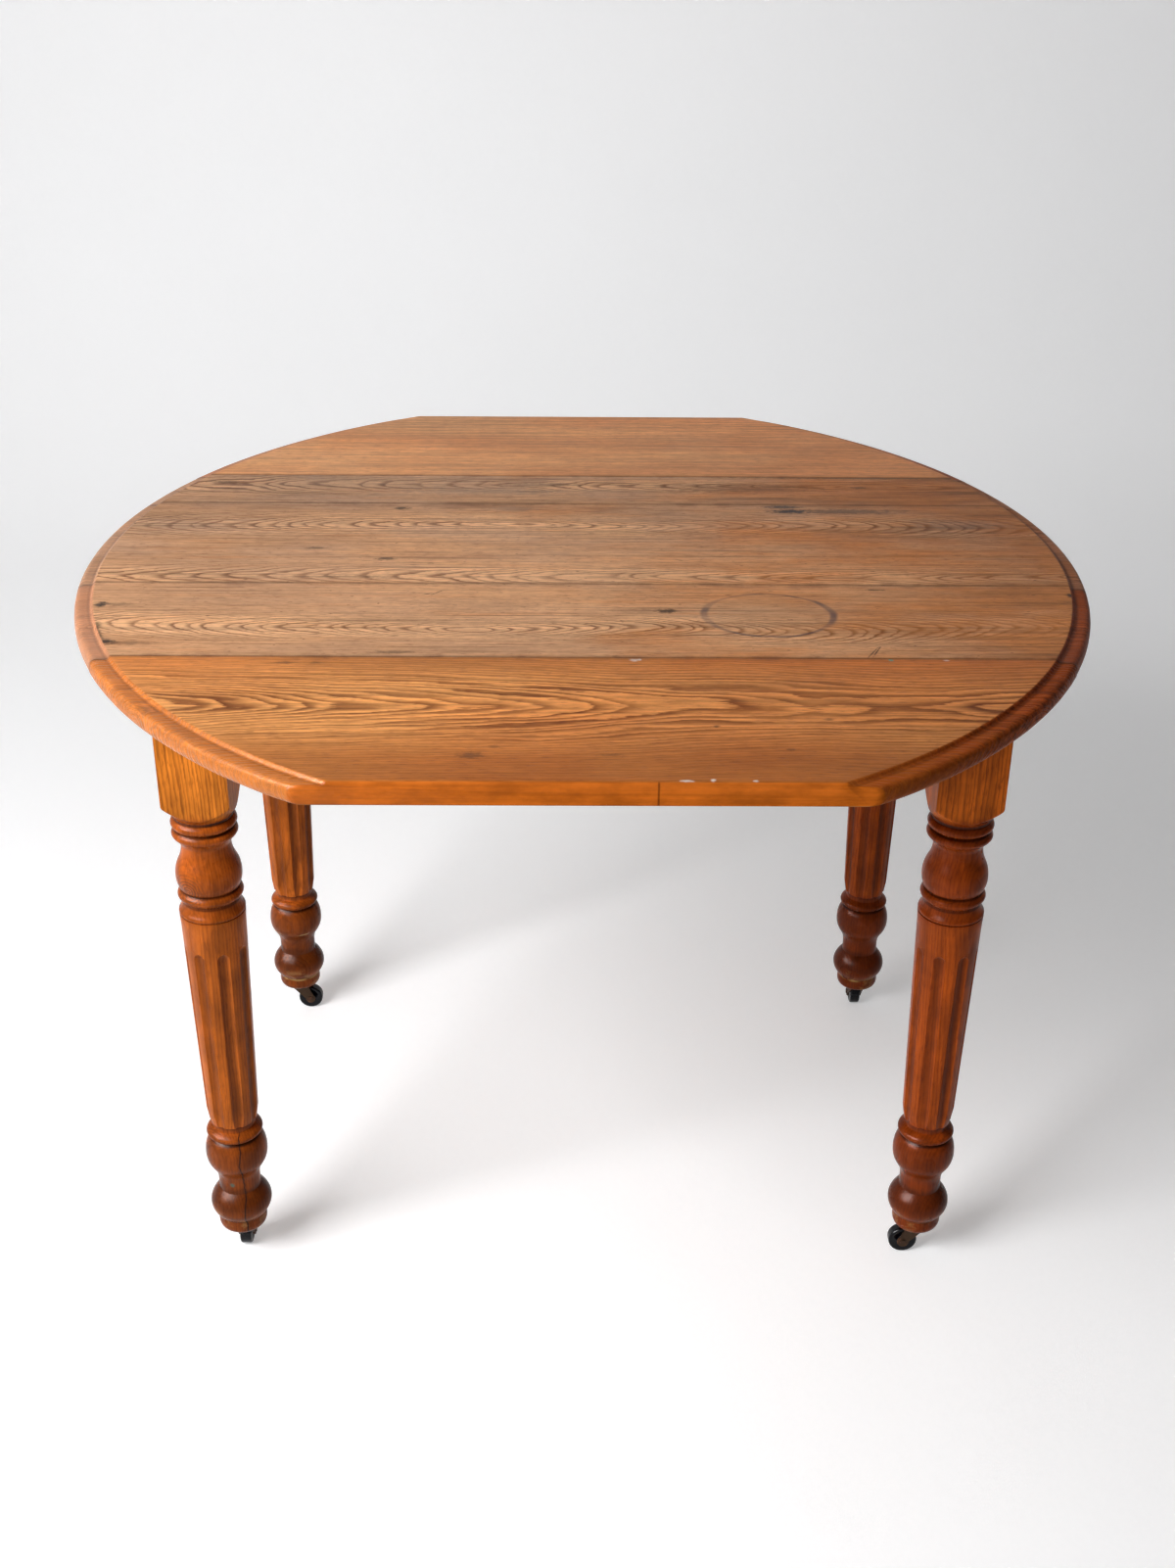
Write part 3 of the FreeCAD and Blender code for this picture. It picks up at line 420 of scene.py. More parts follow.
class Finishes(bpy.types.PropertyGroup):
    """Colours of the woods and metals."""

    front_light: wood_colour("Front leaf figure", "Late wood in the front leaf's figure", (0.91, 0.63, 0.36))
    front_plain: wood_colour("Front leaf", "Plain wood of the front leaf", (0.78, 0.485, 0.235))
    front_dark: wood_colour("Front leaf rings", "Ring lines of the front leaf", (0.42, 0.21, 0.08))
    fixed_light: wood_colour("Fixed top figure", "Late wood in the fixed boards' figure", (0.86, 0.66, 0.485))
    fixed_plain: wood_colour("Fixed top", "Plain wood of the worn fixed boards", (0.79, 0.59, 0.425))
    fixed_dark: wood_colour("Fixed top rings", "Ring lines of the worn fixed boards", (0.39, 0.21, 0.12))
    fixed_grey: wood_colour("Fixed top greying", "Weathered patches of the fixed boards", (0.75, 0.59, 0.47))
    fixed_brown: wood_colour("Fixed top browning", "Varnish left on the fixed boards", (0.73, 0.45, 0.22))
    fixed_stain: wood_colour("Fixed top stains", "Dark streaks of the fixed boards", (0.40, 0.26, 0.17))
    # Darker, warmer tint of the fixed boards towards their right end
    fixed_right_tint: wood_colour("Fixed top mellowing", "Tint of the fixed boards' right end",
                              (0.975, 0.93, 0.88))
    leaf_varnish: wood_colour("Leaf varnish", "Varnish left on the leaves", (0.90, 0.77, 0.66))
    rear_light: wood_colour("Rear leaf", "Late wood of the rear leaf", (0.885, 0.645, 0.435))
    rear_dark: wood_colour("Rear leaf rings", "Ring lines of the rear leaf", (0.52, 0.30, 0.16))
    rim: wood_colour("Leaf moulding", "Varnish on the moulding of the leaves", (0.78, 0.45, 0.18))
    # Painted shade: the deep red-brown of the moulding towards the right, away from the key light
    rim_shade: wood_colour("Deep moulding", "Thick varnish on the right of the moulding", (0.54, 0.225, 0.065))
    fixed_rim: wood_colour("Fixed moulding", "Worn moulding of the front board", (0.76, 0.51, 0.35))
    bleached_rim: wood_colour("Bleached moulding", "Moulding of the boards behind the front one",
                              (0.74, 0.53, 0.37))
    edge: wood_colour("Leaf ends", "Varnish on the straight ends of the leaves", (0.74, 0.38, 0.11))
    block_light: wood_colour("Leg blocks", "Worn wood of the square blocks", (0.82, 0.47, 0.14))
    leg_light: wood_colour("Legs", "Varnished wood of the turned parts", (0.66, 0.32, 0.09))
    leg_dark: wood_colour("Leg rings", "Ring lines of the legs", (0.38, 0.16, 0.04))
    # Dark old varnish, also laid as painted shade in grooves, flutes, the cove and the foot ring
    leg_grime_and_shade: wood_colour("Leg grime", "Old varnish in the grooves", (0.17, 0.065, 0.025))
    inner_light: wood_colour("Apron", "Late wood of the apron and brackets", (0.66, 0.44, 0.24))
    inner_dark: wood_colour("Apron rings", "Ring lines of the apron and brackets", (0.44, 0.26, 0.12))
    iron: wood_colour("Iron", "Hinges", (0.17, 0.15, 0.13))
    rust: wood_colour("Rust", "Rust on the ironwork", (0.38, 0.21, 0.11))
    steel: wood_colour("Steel", "Screws and pins", (0.45, 0.42, 0.38))
    horn: wood_colour("Caster iron", "Caster horns", (0.25, 0.19, 0.145))
    wheel: wood_colour("Wheel", "Caster wheels", (0.022, 0.022, 0.040))


class StageSettings(bpy.types.PropertyGroup):
    """Floor, light and camera."""

    floor: wood_colour("Floor", "Floor and wall", (0.93, 0.93, 0.935))
    glow: FloatProperty(name="White ground", description="White added where the floor is seen",
                        default=0.34, min=0)
    key: FloatProperty(name="Key light", description="Soft light from the left", default=88, min=0,
                       unit="POWER")
    fill: FloatProperty(name="Fill light", description="Soft light from the right", default=1, min=0,
                        unit="POWER")
    sky: FloatProperty(name="Room light", description="Light from all sides", default=0.12, min=0)
    backdrop: FloatProperty(name="Backdrop", description="White seen past the wall", default=0.75, min=0)
    window: FloatProperty(name="Window", description="Bright window seen in gloss", default=32, min=0)
    lens: FloatProperty(name="Lens", description="Focal length", default=42.16, min=1, unit="CAMERA")
    pitch: FloatProperty(name="Pitch", description="How far the camera looks down", subtype="ANGLE",
                         default=math.radians(27.43))
    yaw: FloatProperty(name="Yaw", description="How far the camera looks aside", subtype="ANGLE",
                       default=math.radians(-0.63))
    roll: FloatProperty(name="Roll", description="How far the camera leans", subtype="ANGLE",
                        default=math.radians(0.483))
    camera_place: FloatVectorProperty(name="Camera place", description="Where the camera stands", size=3,
                                      subtype="TRANSLATION", default=(-0.0137, -1.8725, 1.4442))


class NodeBuilder:
    """Adds and links nodes in one tree."""

    def __init__(self, tree):
        self.tree = tree

    def add(self, kind, values=None, **settings):
        node = self.tree.nodes.new(kind)
        for key, value in settings.items():
            setattr(node, key, value)
        for key, value in (values or {}).items():
            self.feed(node.inputs[key], value)
        return node

    def feed(self, socket, value):
        if isinstance(value, bpy.types.NodeSocket):
            self.tree.links.new(value, socket)
        else:
            socket.default_value = value

    def math(self, operation, *values):
        return self.add("ShaderNodeMath", dict(enumerate(values)), operation=operation).outputs[0]

    def plus(self, first, second):
        return self.math("ADD", first, second)

    def minus(self, first, second):
        return self.math("SUBTRACT", first, second)

    def times(self, first, second):
        return self.math("MULTIPLY", first, second)

    def scaled(self, value, factor, start):
        """Start plus a value times a factor."""
        return self.math("MULTIPLY_ADD", value, factor, start)

    def larger(self, first, second):
        return self.math("MAXIMUM", first, second)

    def apart(self, first, second):
        """How far two numbers are apart."""
        return self.math("ABSOLUTE", self.minus(first, second))

    def vector(self, operation, *values):
        return self.add("ShaderNodeVectorMath", dict(enumerate(values)), operation=operation).outputs[0]

    def measure(self, operation, *values):
        """Number that a vector operation gives, such as a length."""
        node = self.add("ShaderNodeVectorMath", dict(enumerate(values)), operation=operation)
        return node.outputs["Value"]

    def join(self, x, y, z):
        return self.add("ShaderNodeCombineXYZ", {"X": x, "Y": y, "Z": z}).outputs[0]

    def split(self, vector):
        return self.add("ShaderNodeSeparateXYZ", {"Vector": vector}).outputs

    def place(self):
        """Place on the object, in metres."""
        return self.add("ShaderNodeTexCoord").outputs["Object"]

    def attribute(self, name, output="Fac"):
        return self.add("ShaderNodeAttribute", attribute_name=name, attribute_type="GEOMETRY").outputs[output]

    def smooth(self, value, low, high, out_low=0.0, out_high=1.0):
        """Smooth step from one value to another while the input goes from low to high."""
        values = {"Value": value, "From Min": low, "From Max": high, "To Min": out_low, "To Max": out_high}
        return self.add("ShaderNodeMapRange", values, interpolation_type="SMOOTHSTEP").outputs["Result"]

    def cloud(self, vector, stretch, detail=3.0, roughness=0.55):
        """Noise over a place, stretched by a scale for each axis."""
        stretched = self.vector("MULTIPLY", vector, stretch)
        values = {"Vector": stretched, "Scale": 1.0, "Detail": detail, "Roughness": roughness}
        return self.add("ShaderNodeTexNoise", values).outputs[0]

    def patches(self, vector, stretch, edge, levels=(0.0, 1.0), detail=3.0, roughness=0.55):
        """Noise cut to soft-edged patches, with a level outside them and one inside."""
        return self.smooth(self.cloud(vector, stretch, detail, roughness), *edge, *levels)

    def wave(self, value, rate, seed, detail=1.0):
        """Noise along one length, centred on zero."""
        values = {"W": self.scaled(value, rate, seed), "Scale": 1.0, "Detail": detail}
        fac = self.add("ShaderNodeTexNoise", values, noise_dimensions="1D").outputs[0]
        return self.minus(fac, 0.5)

    def mix(self, factor, first, second, blend="MIX"):
        node = self.add("ShaderNodeMix", data_type="RGBA", blend_type=blend, clamp_factor=True)
        self.feed(node.inputs[0], factor)
        self.feed(node.inputs[6], first)
        self.feed(node.inputs[7], second)
        return node.outputs[2]

    def tint(self, colour, other):
        """Colour multiplied by another."""
        return self.mix(1.0, colour, other, "MULTIPLY")

    def darken(self, colour, shade):
        """Colour multiplied by a grey level."""
        return self.tint(colour, self.join(shade, shade, shade))

    def bump(self, height, strength, distance):
        values = {"Strength": strength, "Distance": distance, "Height": height}
        return self.add("ShaderNodeBump", values).outputs[0]

    def choose(self, index, values):
        """Value picked from a list by its number."""
        node = self.add("GeometryNodeIndexSwitch", {"Index": index}, data_type="FLOAT")
        while len(node.index_switch_items) < len(values):
            node.index_switch_items.new()
        for socket, value in zip(node.inputs[1:], values):
            self.feed(socket, value)
        return node.outputs[0]


def add_sockets(tree, inputs, output):
    """Inputs of a node group by name and kind, and its one output."""
    for name, kind in inputs:
        tree.interface.new_socket(name, in_out="INPUT", socket_type=f"NodeSocket{kind}")
    name, kind = output
    tree.interface.new_socket(name, in_out="OUTPUT", socket_type=f"NodeSocket{kind}")


def linear(colour):
    """Scene-linear colour with alpha from a screen colour."""
    return (*Color(colour).from_srgb_to_scene_linear(), 1.0)


def new_material(name):
    material = bpy.data.materials.new(name)
    material.use_nodes = True
    material.node_tree.nodes.clear()
    return material, NodeBuilder(material.node_tree)


def close_material(build, colour, roughness, normal, others=None):
    """Principled shader and output for a finished surface."""
    values = {"Base Color": colour, "Roughness": roughness, "Normal": normal, **(others or {})}
    shader = build.add("ShaderNodeBsdfPrincipled", values)
    build.add("ShaderNodeOutputMaterial", {"Surface": shader.outputs[0]})


def growth_rings(build, along, across, down, grain):
    """Ring phase from 0 to 1 across each growth ring, a tone for each ring and how near the crest is."""
    wander = build.times(build.wave(along, WANDER_RATE, grain.seed), grain.wander)
    aside = build.plus(build.minus(across, grain.crest), wander)
    run = build.minus(along, grain.turn)
    reach = build.math("SQRT", build.scaled(run, run, grain.soft ** 2))
    ripple = build.times(build.wave(along, grain.rate, grain.seed + 50.0, 2.0), grain.ripple)
    heart = build.scaled(reach, grain.slope, ripple)
    heart = build.minus(build.plus(heart, grain.depth), down)
    radius = build.math("SQRT", build.scaled(aside, aside, build.times(heart, heart)))
    ridge = build.math("SQRT", build.scaled(aside, aside, RIDGE_ROUND ** 2))
    radius = build.scaled(ridge, grain.point, radius)
    phase = build.math("DIVIDE", radius, grain.pitch)
    phase = build.scaled(build.wave(radius, RING_RATE, grain.seed), RING_SWING, phase)
    place = build.join(along, across, down)
    swell = (4.0, 16.0, 16.0), 2.0, grain.swell
    bend = (9.0, 50.0, 50.0), 2.0, 1.2
    fray = (70.0, 700.0, 700.0), 3.0, 0.55
    for stretch, detail, size in (swell, bend, fray):
        phase = build.scaled(build.minus(build.cloud(place, stretch, detail), 0.5), size, phase)
    number = build.math("FLOOR", phase)
    tone = build.add("ShaderNodeTexWhiteNoise", {"W": number}, noise_dimensions="1D").outputs["Value"]
    near, far = grain.band
    share = build.smooth(build.math("ABSOLUTE", aside), near, far, 1.0, 0.0)
    return build.math("FRACT", phase), tone, share


def ring_lines(build, ring, tone, width):
    """Dark early wood at the start of each ring, fading into the late wood."""
    rise = build.smooth(ring, 0.0, 0.12)
    fade = build.smooth(ring, 0.12, width, 1.0, 0.0)
    return build.times(build.times(rise, fade), build.scaled(tone, 0.35, 0.65))


def fibres(build, along, across, down, broad_share):
    """Fine and broad streaks that run with the grain."""
    place = build.join(along, across, down)
    fine = build.cloud(place, (3.2, 260.0, 260.0), 5.0, 0.7)
    broad = build.cloud(place, (2.5, 75.0, 75.0), 2.0)
    return build.scaled(broad, broad_share, build.times(fine, 1.0 - broad_share))


def pores(build, along, across, down):
    """Short dark dashes of open pores and a few longer flecks."""
    place = build.join(along, across, down)
    dash = build.patches(place, (75.0, 620.0, 620.0), (0.55, 0.68), detail=2.0)
    fleck = build.patches(place, (36.0, 240.0, 240.0), (0.70, 0.78), detail=1.0)
    return build.larger(dash, fleck)


def mark_tree():
    """Group that lays one irregular mark over a colour."""
    tree = bpy.data.node_groups.new("surface mark", "ShaderNodeTree")
    add_sockets(tree, (("Colour", "Color"), ("Place", "Vector"), ("Centre", "Vector"), ("Size", "Vector"),
                       ("Angle", "Float"), ("Strength", "Float"), ("Tint", "Color")), ("Colour", "Color"))
    build = NodeBuilder(tree)
    given = build.add("NodeGroupInput").outputs
    away = build.vector("SUBTRACT", given["Place"], given["Centre"])
    turn = {"Vector": away, "Angle": given["Angle"]}
    turned = build.add("ShaderNodeVectorRotate", turn, rotation_type="Z_AXIS").outputs[0]
    distance = build.measure("LENGTH", build.vector("DIVIDE", turned, given["Size"]))
    ragged = build.minus(build.cloud(given["Place"], (130.0, 260.0, 20.0), 5.0, 0.7), 0.5)
    distance = build.scaled(ragged, 2.0, distance)
    cover = build.times(build.smooth(distance, 0.25, 1.0, 1.0, 0.0), given["Strength"])
    build.add("NodeGroupOutput", {"Colour": build.mix(cover, given["Colour"], given["Tint"])})


def lay_marks(build, colour, place, marks):
    """Knots, burns, scratches and specks, one after the other."""
    flat = build.vector("MULTIPLY", place, (1.0, 1.0, 0.0))
    for (x, y), (long, wide), angle, strength, tint in marks:
        group = build.add("ShaderNodeGroup", node_tree=bpy.data.node_groups["surface mark"])
        values = {"Colour": colour, "Place": flat, "Centre": (x, y, 0), "Size": (long, wide, 1),
                  "Angle": -math.radians(angle), "Strength": strength, "Tint": (*tint, 1)}
        for key, value in values.items():
            build.feed(group.inputs[key], value)
        colour = group.outputs[0]
    return colour


def ring_stain(build, colour, place):
    """Round stain left by a wet pot."""
    x, y = RING_STAIN_CENTRE
    flat = build.vector("SUBTRACT", place, (x, y, 0))
    flat = build.vector("MULTIPLY", flat, (1.0, RING_STAIN_OVAL, 0.0))
    drift = build.minus(build.cloud(place, (40.0, 40.0, 5.0), 2.0), 0.5)
    radius = build.scaled(drift, 4 * MM, build.measure("LENGTH", flat))
    sides = build.math("ABSOLUTE", build.math("DIVIDE", build.split(flat)[0], RING_STAIN_RADIUS))
    off = build.times(build.apart(radius, RING_STAIN_RADIUS), build.smooth(sides, 0.5, 1.0, 1.5, 0.75))
    band = build.smooth(off, 1 * MM, 4.5 * MM, 1.0, 0.0)
    patchy = build.patches(place, (22.0, 22.0, 5.0), (0.34, 0.62), (0.35, 0.85), 2.0)
    colour = build.mix(build.times(band, patchy), colour, POT_TINT)
    inside = build.smooth(radius, RING_STAIN_RADIUS * 0.9, RING_STAIN_RADIUS, 0.12, 0.0)
    return build.mix(inside, colour, POT_FLOOR_TINT)


def weathering(build, colour, place, finishes, worn):
    """Grey worn patches, brown varnish left in streaks and towards the right end, and dark stains."""
    along, across, _ = build.split(place)
    brown = linear(finishes.fixed_brown)
    grey = build.patches(place, (5.0, 16.0, 5.0), (0.40, 0.66), (0.0, worn), 4.0, 0.6)
    colour = build.mix(grey, colour, linear(finishes.fixed_grey))
    streaks = build.patches(place, (6.0, 70.0, 20.0), (0.50, 0.76), (0.0, 0.45), 4.0, 0.65)
    colour = build.mix(streaks, colour, brown)
    kept = build.scaled(along, 0.55, build.cloud(place, (4.0, 11.0, 4.0), 4.0, 0.6))
    colour = build.mix(build.smooth(kept, 0.47, 0.80, 0.0, 0.85), colour, brown)
    stain = build.scaled(along, 0.12, build.cloud(place, (6.0, 46.0, 10.0), 5.0, 0.65))
    stain = build.smooth(stain, 0.50, 0.72, 0.0, worn * 0.8)
    colour = build.mix(stain, colour, linear(finishes.fixed_stain))
    # Brighter towards the middle of the fixed boards
    colour = build.darken(colour, build.smooth(build.apart(along, BRIGHT_MIDDLE_X), *BRIGHT_MIDDLE_REACH, 1.13, 1.0))
    # Darker and warmer towards the right end
    right_tinted = build.tint(colour, linear(finishes.fixed_right_tint))
    colour = build.mix(build.smooth(along, *RIGHT_TINT_X, 0.0, worn), colour, right_tinted)
    colour = build.darken(colour, build.smooth(across, *REAR_SHADE_Y, 1.0, 0.86))
    colour = build.darken(colour, build.smooth(along, *LEFT_SHADE_X, 0.93, 1.0))
    checks = build.patches(place, (3.5, 330.0, 60.0), (0.57, 0.67), (0.0, 0.70))
    specks = build.patches(place, (90.0, 260.0, 60.0), (0.66, 0.74), (0.0, 0.75), 2.0)
    return build.mix(build.larger(checks, specks), colour, linear(finishes.fixed_stain))


def leaf_varnish(build, colour, place, finishes):
    """Varnish left on a leaf, thicker towards the right, and the darker end of the front leaf."""
    along, across, _ = build.split(place)
    thick = build.scaled(along, 0.45, build.cloud(place, (3.0, 8.0, 3.0)))
    varnished = build.tint(colour, linear(finishes.leaf_varnish))
    colour = build.mix(build.smooth(thick, 0.25, 0.70, 0.10, 0.70), colour, varnished)
    return build.darken(colour, build.smooth(across, *LEAF_END_SHADOW, 0.74, 1.0))


def board_wood(build, place, grain, line_width):
    """Growth rings, fibres and pores of one board."""
    along, across, height = build.split(place)
    down = build.minus(TOP, height)
    ring, tone, share = growth_rings(build, along, across, down, grain)
    lines = ring_lines(build, ring, tone, line_width)
    patch = build.patches(place, (4.0, 18.0, 18.0), (0.30, 0.62), (0.7, 1.0), 2.0)
    figure = build.times(lines, build.times(build.scaled(share, 0.7, 0.3), patch))
    streak = fibres(build, along, across, down, 0.22)
    swing = build.smooth(streak, 0.36, 0.64, -1.0, 1.0)
    shade = build.scaled(swing, build.scaled(share, 0.17, 0.11), 1.0)
    ribs = ring_lines(build, build.math("FRACT", build.times(ring, 3.0)), tone, 0.8)
    dash = pores(build, along, across, down)
    return BoardWood(share, lines, figure, streak, shade, ribs, dash)


def board_face(build, place, finishes, board, wood):
    """Colour of a board's upper face before its marks."""
    dark = linear(board.dark)
    colour = build.mix(wood.share, linear(board.plain), linear(board.light))
    colour = build.mix(build.times(wood.figure, board.line_strength), colour, dark)
    if board.worn:
        colour = weathering(build, colour, place, finishes, board.worn)
        colour = build.mix(build.times(wood.figure, 0.65 * board.worn), colour, dark)
    else:
        colour = leaf_varnish(build, colour, place, finishes)
    colour = build.darken(colour, build.patches(place, (3.0, 9.0, 3.0), (0.25, 0.75), (0.86, 1.12)))
    colour = build.darken(colour, wood.shade)
    speckle = build.patches(place, (45.0, 160.0, 45.0), (0.32, 0.68), (0.88, 1.08), 4.0, 0.65)
    colour = build.darken(colour, speckle)
    return build.mix(build.times(wood.dash, 0.46), colour, dark)


def moulding_face(build, finishes, board, wood, rubbed, toward_right):
    """Colour of the moulding, with fine ribs and painted shade deepening it towards the right."""
    line = linear([part * 0.55 for part in board.rim])
    colour = build.mix(build.times(wood.ribs, 0.55), linear(board.rim), line)
    colour = build.mix(build.times(wood.lines, 0.35), colour, line)
    colour = build.darken(colour, build.smooth(rubbed, 0.3, 0.7, 0.88, 1.08))
    # Painted shade: the moulding deepens to this red-brown towards the right
    deep = build.darken(linear(finishes.rim_shade), wood.shade)
    colour = build.mix(build.smooth(toward_right, *RIM_SHADE_X, 0.0, board.thick), colour, deep)
    return build.darken(colour, wood.shade)


def end_face(build, colour, place, finishes, wood, rubbed):
    """Varnish on a leaf's straight end, with its crack."""
    end = build.attribute("end")
    varnish = build.darken(linear(finishes.edge), build.smooth(rubbed, 0.3, 0.7, 0.70, 1.14))
    varnish = build.darken(varnish, build.smooth(wood.streak, 0.3, 0.7, 0.78, 1.12))
    colour = build.mix(end, colour, varnish)
    off = build.apart(build.split(place)[0], END_CRACK_X)
    crack = build.times(end, build.smooth(off, 0.4 * MM, 1.4 * MM, 0.6, 0.0))
    return build.mix(crack, colour, linear(finishes.leg_grime_and_shade))


def joint_dirt_and_cove_shade(build, colour, finishes, dark, rubbed):
    """Dirt and painted shade in the moulding's cove, smears beside the joints and the dark joint lines."""
    # Dirt and painted shade in the cove
    colour = build.mix(build.times(build.attribute("groove"), 0.4), colour, linear(finishes.leg_grime_and_shade))
    smear = build.times(build.attribute("joint"), build.smooth(rubbed, 0.45, 0.65, 0.0, 0.55))
    colour = build.mix(smear, colour, linear(dark))
    return build.mix(build.times(build.attribute("seam"), 0.85), colour, SEAM_TINT)


def raw_face(build, place, finishes, wood):
    """Colour of a board's raw, sooty underside."""
    dark = linear(finishes.inner_dark)
    colour = build.mix(build.times(wood.lines, 0.6), linear(finishes.inner_light), dark)
    soot = build.patches(place, SOOT_STRETCH, (0.40, 0.72), (0.0, 0.5), 4.0)
    return build.mix(soot, build.darken(colour, wood.shade), dark)


def board_material(node, finishes, board):
    """Old solid wood of one board of the top, with its wear and marks."""
    material, build = new_material(f"{node} wood")
    place = build.place()
    along, _, height = build.split(place)
    wood = board_wood(build, place, BOARD_GRAIN[node], board.line_width)
    rim = build.attribute("rim")
    under = build.smooth(height, UNDERSIDE + 0.2 * MM, UNDERSIDE + 0.9 * MM, 1.0, 0.0)
    rubbed = build.cloud(place, (26.0, 26.0, 60.0), 4.0, 0.6)
    # Place along the top with noise: sets the painted shade on the moulding's right and its shine
    toward_right = build.scaled(build.minus(rubbed, 0.5), 0.3, along)
    colour = board_face(build, place, finishes, board, wood)
    colour = lay_marks(build, colour, place, MARKS.get(node, ()))
    if node == "top_board_front":
        colour = ring_stain(build, colour, place)
    colour = build.mix(rim, colour, moulding_face(build, finishes, board, wood, rubbed, toward_right))
    colour = end_face(build, colour, place, finishes, wood, rubbed)
    colour = joint_dirt_and_cove_shade(build, colour, finishes, board.dark, rubbed)
    colour = build.mix(under, colour, raw_face(build, place, finishes, wood))
    gloss = build.scaled(wood.figure, 0.12, board.roughness)
    gloss = build.scaled(under, 0.25, gloss)
    gloss = build.scaled(rim, -0.18, gloss)
    gloss = build.scaled(build.cloud(place, (12.0, 30.0, 12.0), 2.0), 0.12, gloss)
    relief = build.scaled(wood.lines, -0.5, build.times(wood.streak, 0.6))
    relief = build.scaled(wood.dash, -0.6, relief)
    relief = build.scaled(build.times(rim, wood.ribs), -0.9, relief)
    shine = build.scaled(rim, build.smooth(toward_right, *SHINE_X, 0.08, -0.08), 0.10)
    shine = build.scaled(build.attribute("end"), -0.06, shine)
    close_material(build, colour, gloss, build.bump(relief, 0.4, WOOD_RELIEF), {"Specular IOR Level": shine})
    return material


def foot_marks(build, colour, spot):
    """Split in one foot with a fleck of paint, and bare wood in the rear feet."""
    x, y, z = build.split(spot)
    drift = build.times(build.wave(z, 40.0, 2.0, 3.0), 6 * MM)
    off = build.math("ABSOLUTE", build.plus(build.minus(x, FOOT_SPLIT_X), drift))
    split = build.times(build.smooth(off, 0.3 * MM, 1.1 * MM, 1.0, 0.0),
                        build.smooth(z, *FOOT_SPLIT_TOP, 1.0, 0.0))
    split = build.times(split, build.math("LESS_THAN", y, FOOT_SPLIT_Y))
    colour = build.mix(build.times(split, 0.9), colour, (*BURN_TINT, 1))
    fleck = build.smooth(build.measure("DISTANCE", spot, PAINT_FLECK), 1 * MM, 4 * MM, 0.75, 0.0)
    colour = build.mix(fleck, colour, (*FLECK_TINT, 1))
    rear = build.math("GREATER_THAN", y, 0.0)
    groove = build.smooth(build.apart(z, FOOT_GROOVE), 1 * MM, 3 * MM, 1.0, 0.0)
    patchy = build.patches(spot, (60.0, 60.0, 200.0), (0.42, 0.58), (0.0, 0.75))
    colour = build.mix(build.times(build.times(groove, patchy), rear), colour, BARE_TINT)
    scratch = build.smooth(build.apart(z, BALL_SCRATCH), 0.5 * MM, 1.6 * MM, 0.8, 0.0)
    scratch = build.times(scratch, build.patches(spot, (45.0, 45.0, 90.0), (0.46, 0.58)))
    rear_left = build.times(rear, build.math("LESS_THAN", x, 0.0))
    return build.mix(build.times(scratch, rear_left), colour, BARE_TINT)


def vase_knot(build, colour, spot):
    """Rings of a knot in the front left leg's vase."""
    reach = build.measure("DISTANCE", spot, KNOT_EYE)
    reach = build.scaled(build.cloud(spot, (60.0, 60.0, 60.0), 2.0), 6 * MM, reach)
    rings = build.math("SINE", build.times(reach, math.tau / KNOT_RING))
    rings = build.times(build.smooth(rings, -0.2, 0.9), build.smooth(reach, 7 * MM, 32 * MM, 0.70, 0.0))
    return build.mix(rings, colour, (*KNOT_TINT, 1))


def leg_dirt_and_shade(build, colour, finishes, worn, mottle):
    """Feet darker below the column, and old dark varnish with painted shade in the turned grooves and the flutes.
    """
    grime = linear(finishes.leg_grime_and_shade)
    colour = build.mix(build.smooth(worn, *FOOT_TOP, 0.48, 0.0), colour, grime)
    # Old varnish and painted shade in turned grooves and flutes
    dirt_and_shade = build.times(build.attribute("grime"), build.smooth(mottle, 0.2, 0.6, 0.6, 1.0))
    dirt_and_shade = build.larger(dirt_and_shade, build.times(build.attribute("hollow"), 0.50))
    return build.mix(build.times(dirt_and_shade, 0.9), colour, grime)


def foot_wear(build, colour, finishes, spot, worn):
    """Dark old varnish with painted shade on the upper foot ring, and scuffs under it."""
    # Old varnish and painted shade on the upper foot ring
    crust_and_shade = build.times(build.smooth(worn, *FOOT_RING_BASE), build.smooth(worn, *FOOT_RING_TOP, 0.5, 0.0))
    colour = build.mix(crust_and_shade, colour, linear(finishes.leg_grime_and_shade))
    scuffs = build.patches(spot, (55.0, 55.0, 90.0), (0.50, 0.62), (0.0, 0.55), 5.0, 0.7)
    return build.mix(build.times(scuffs, build.smooth(worn, *FOOT_CUP_TOP, 1.0, 0.0)), colour, SCUFF_TINT)


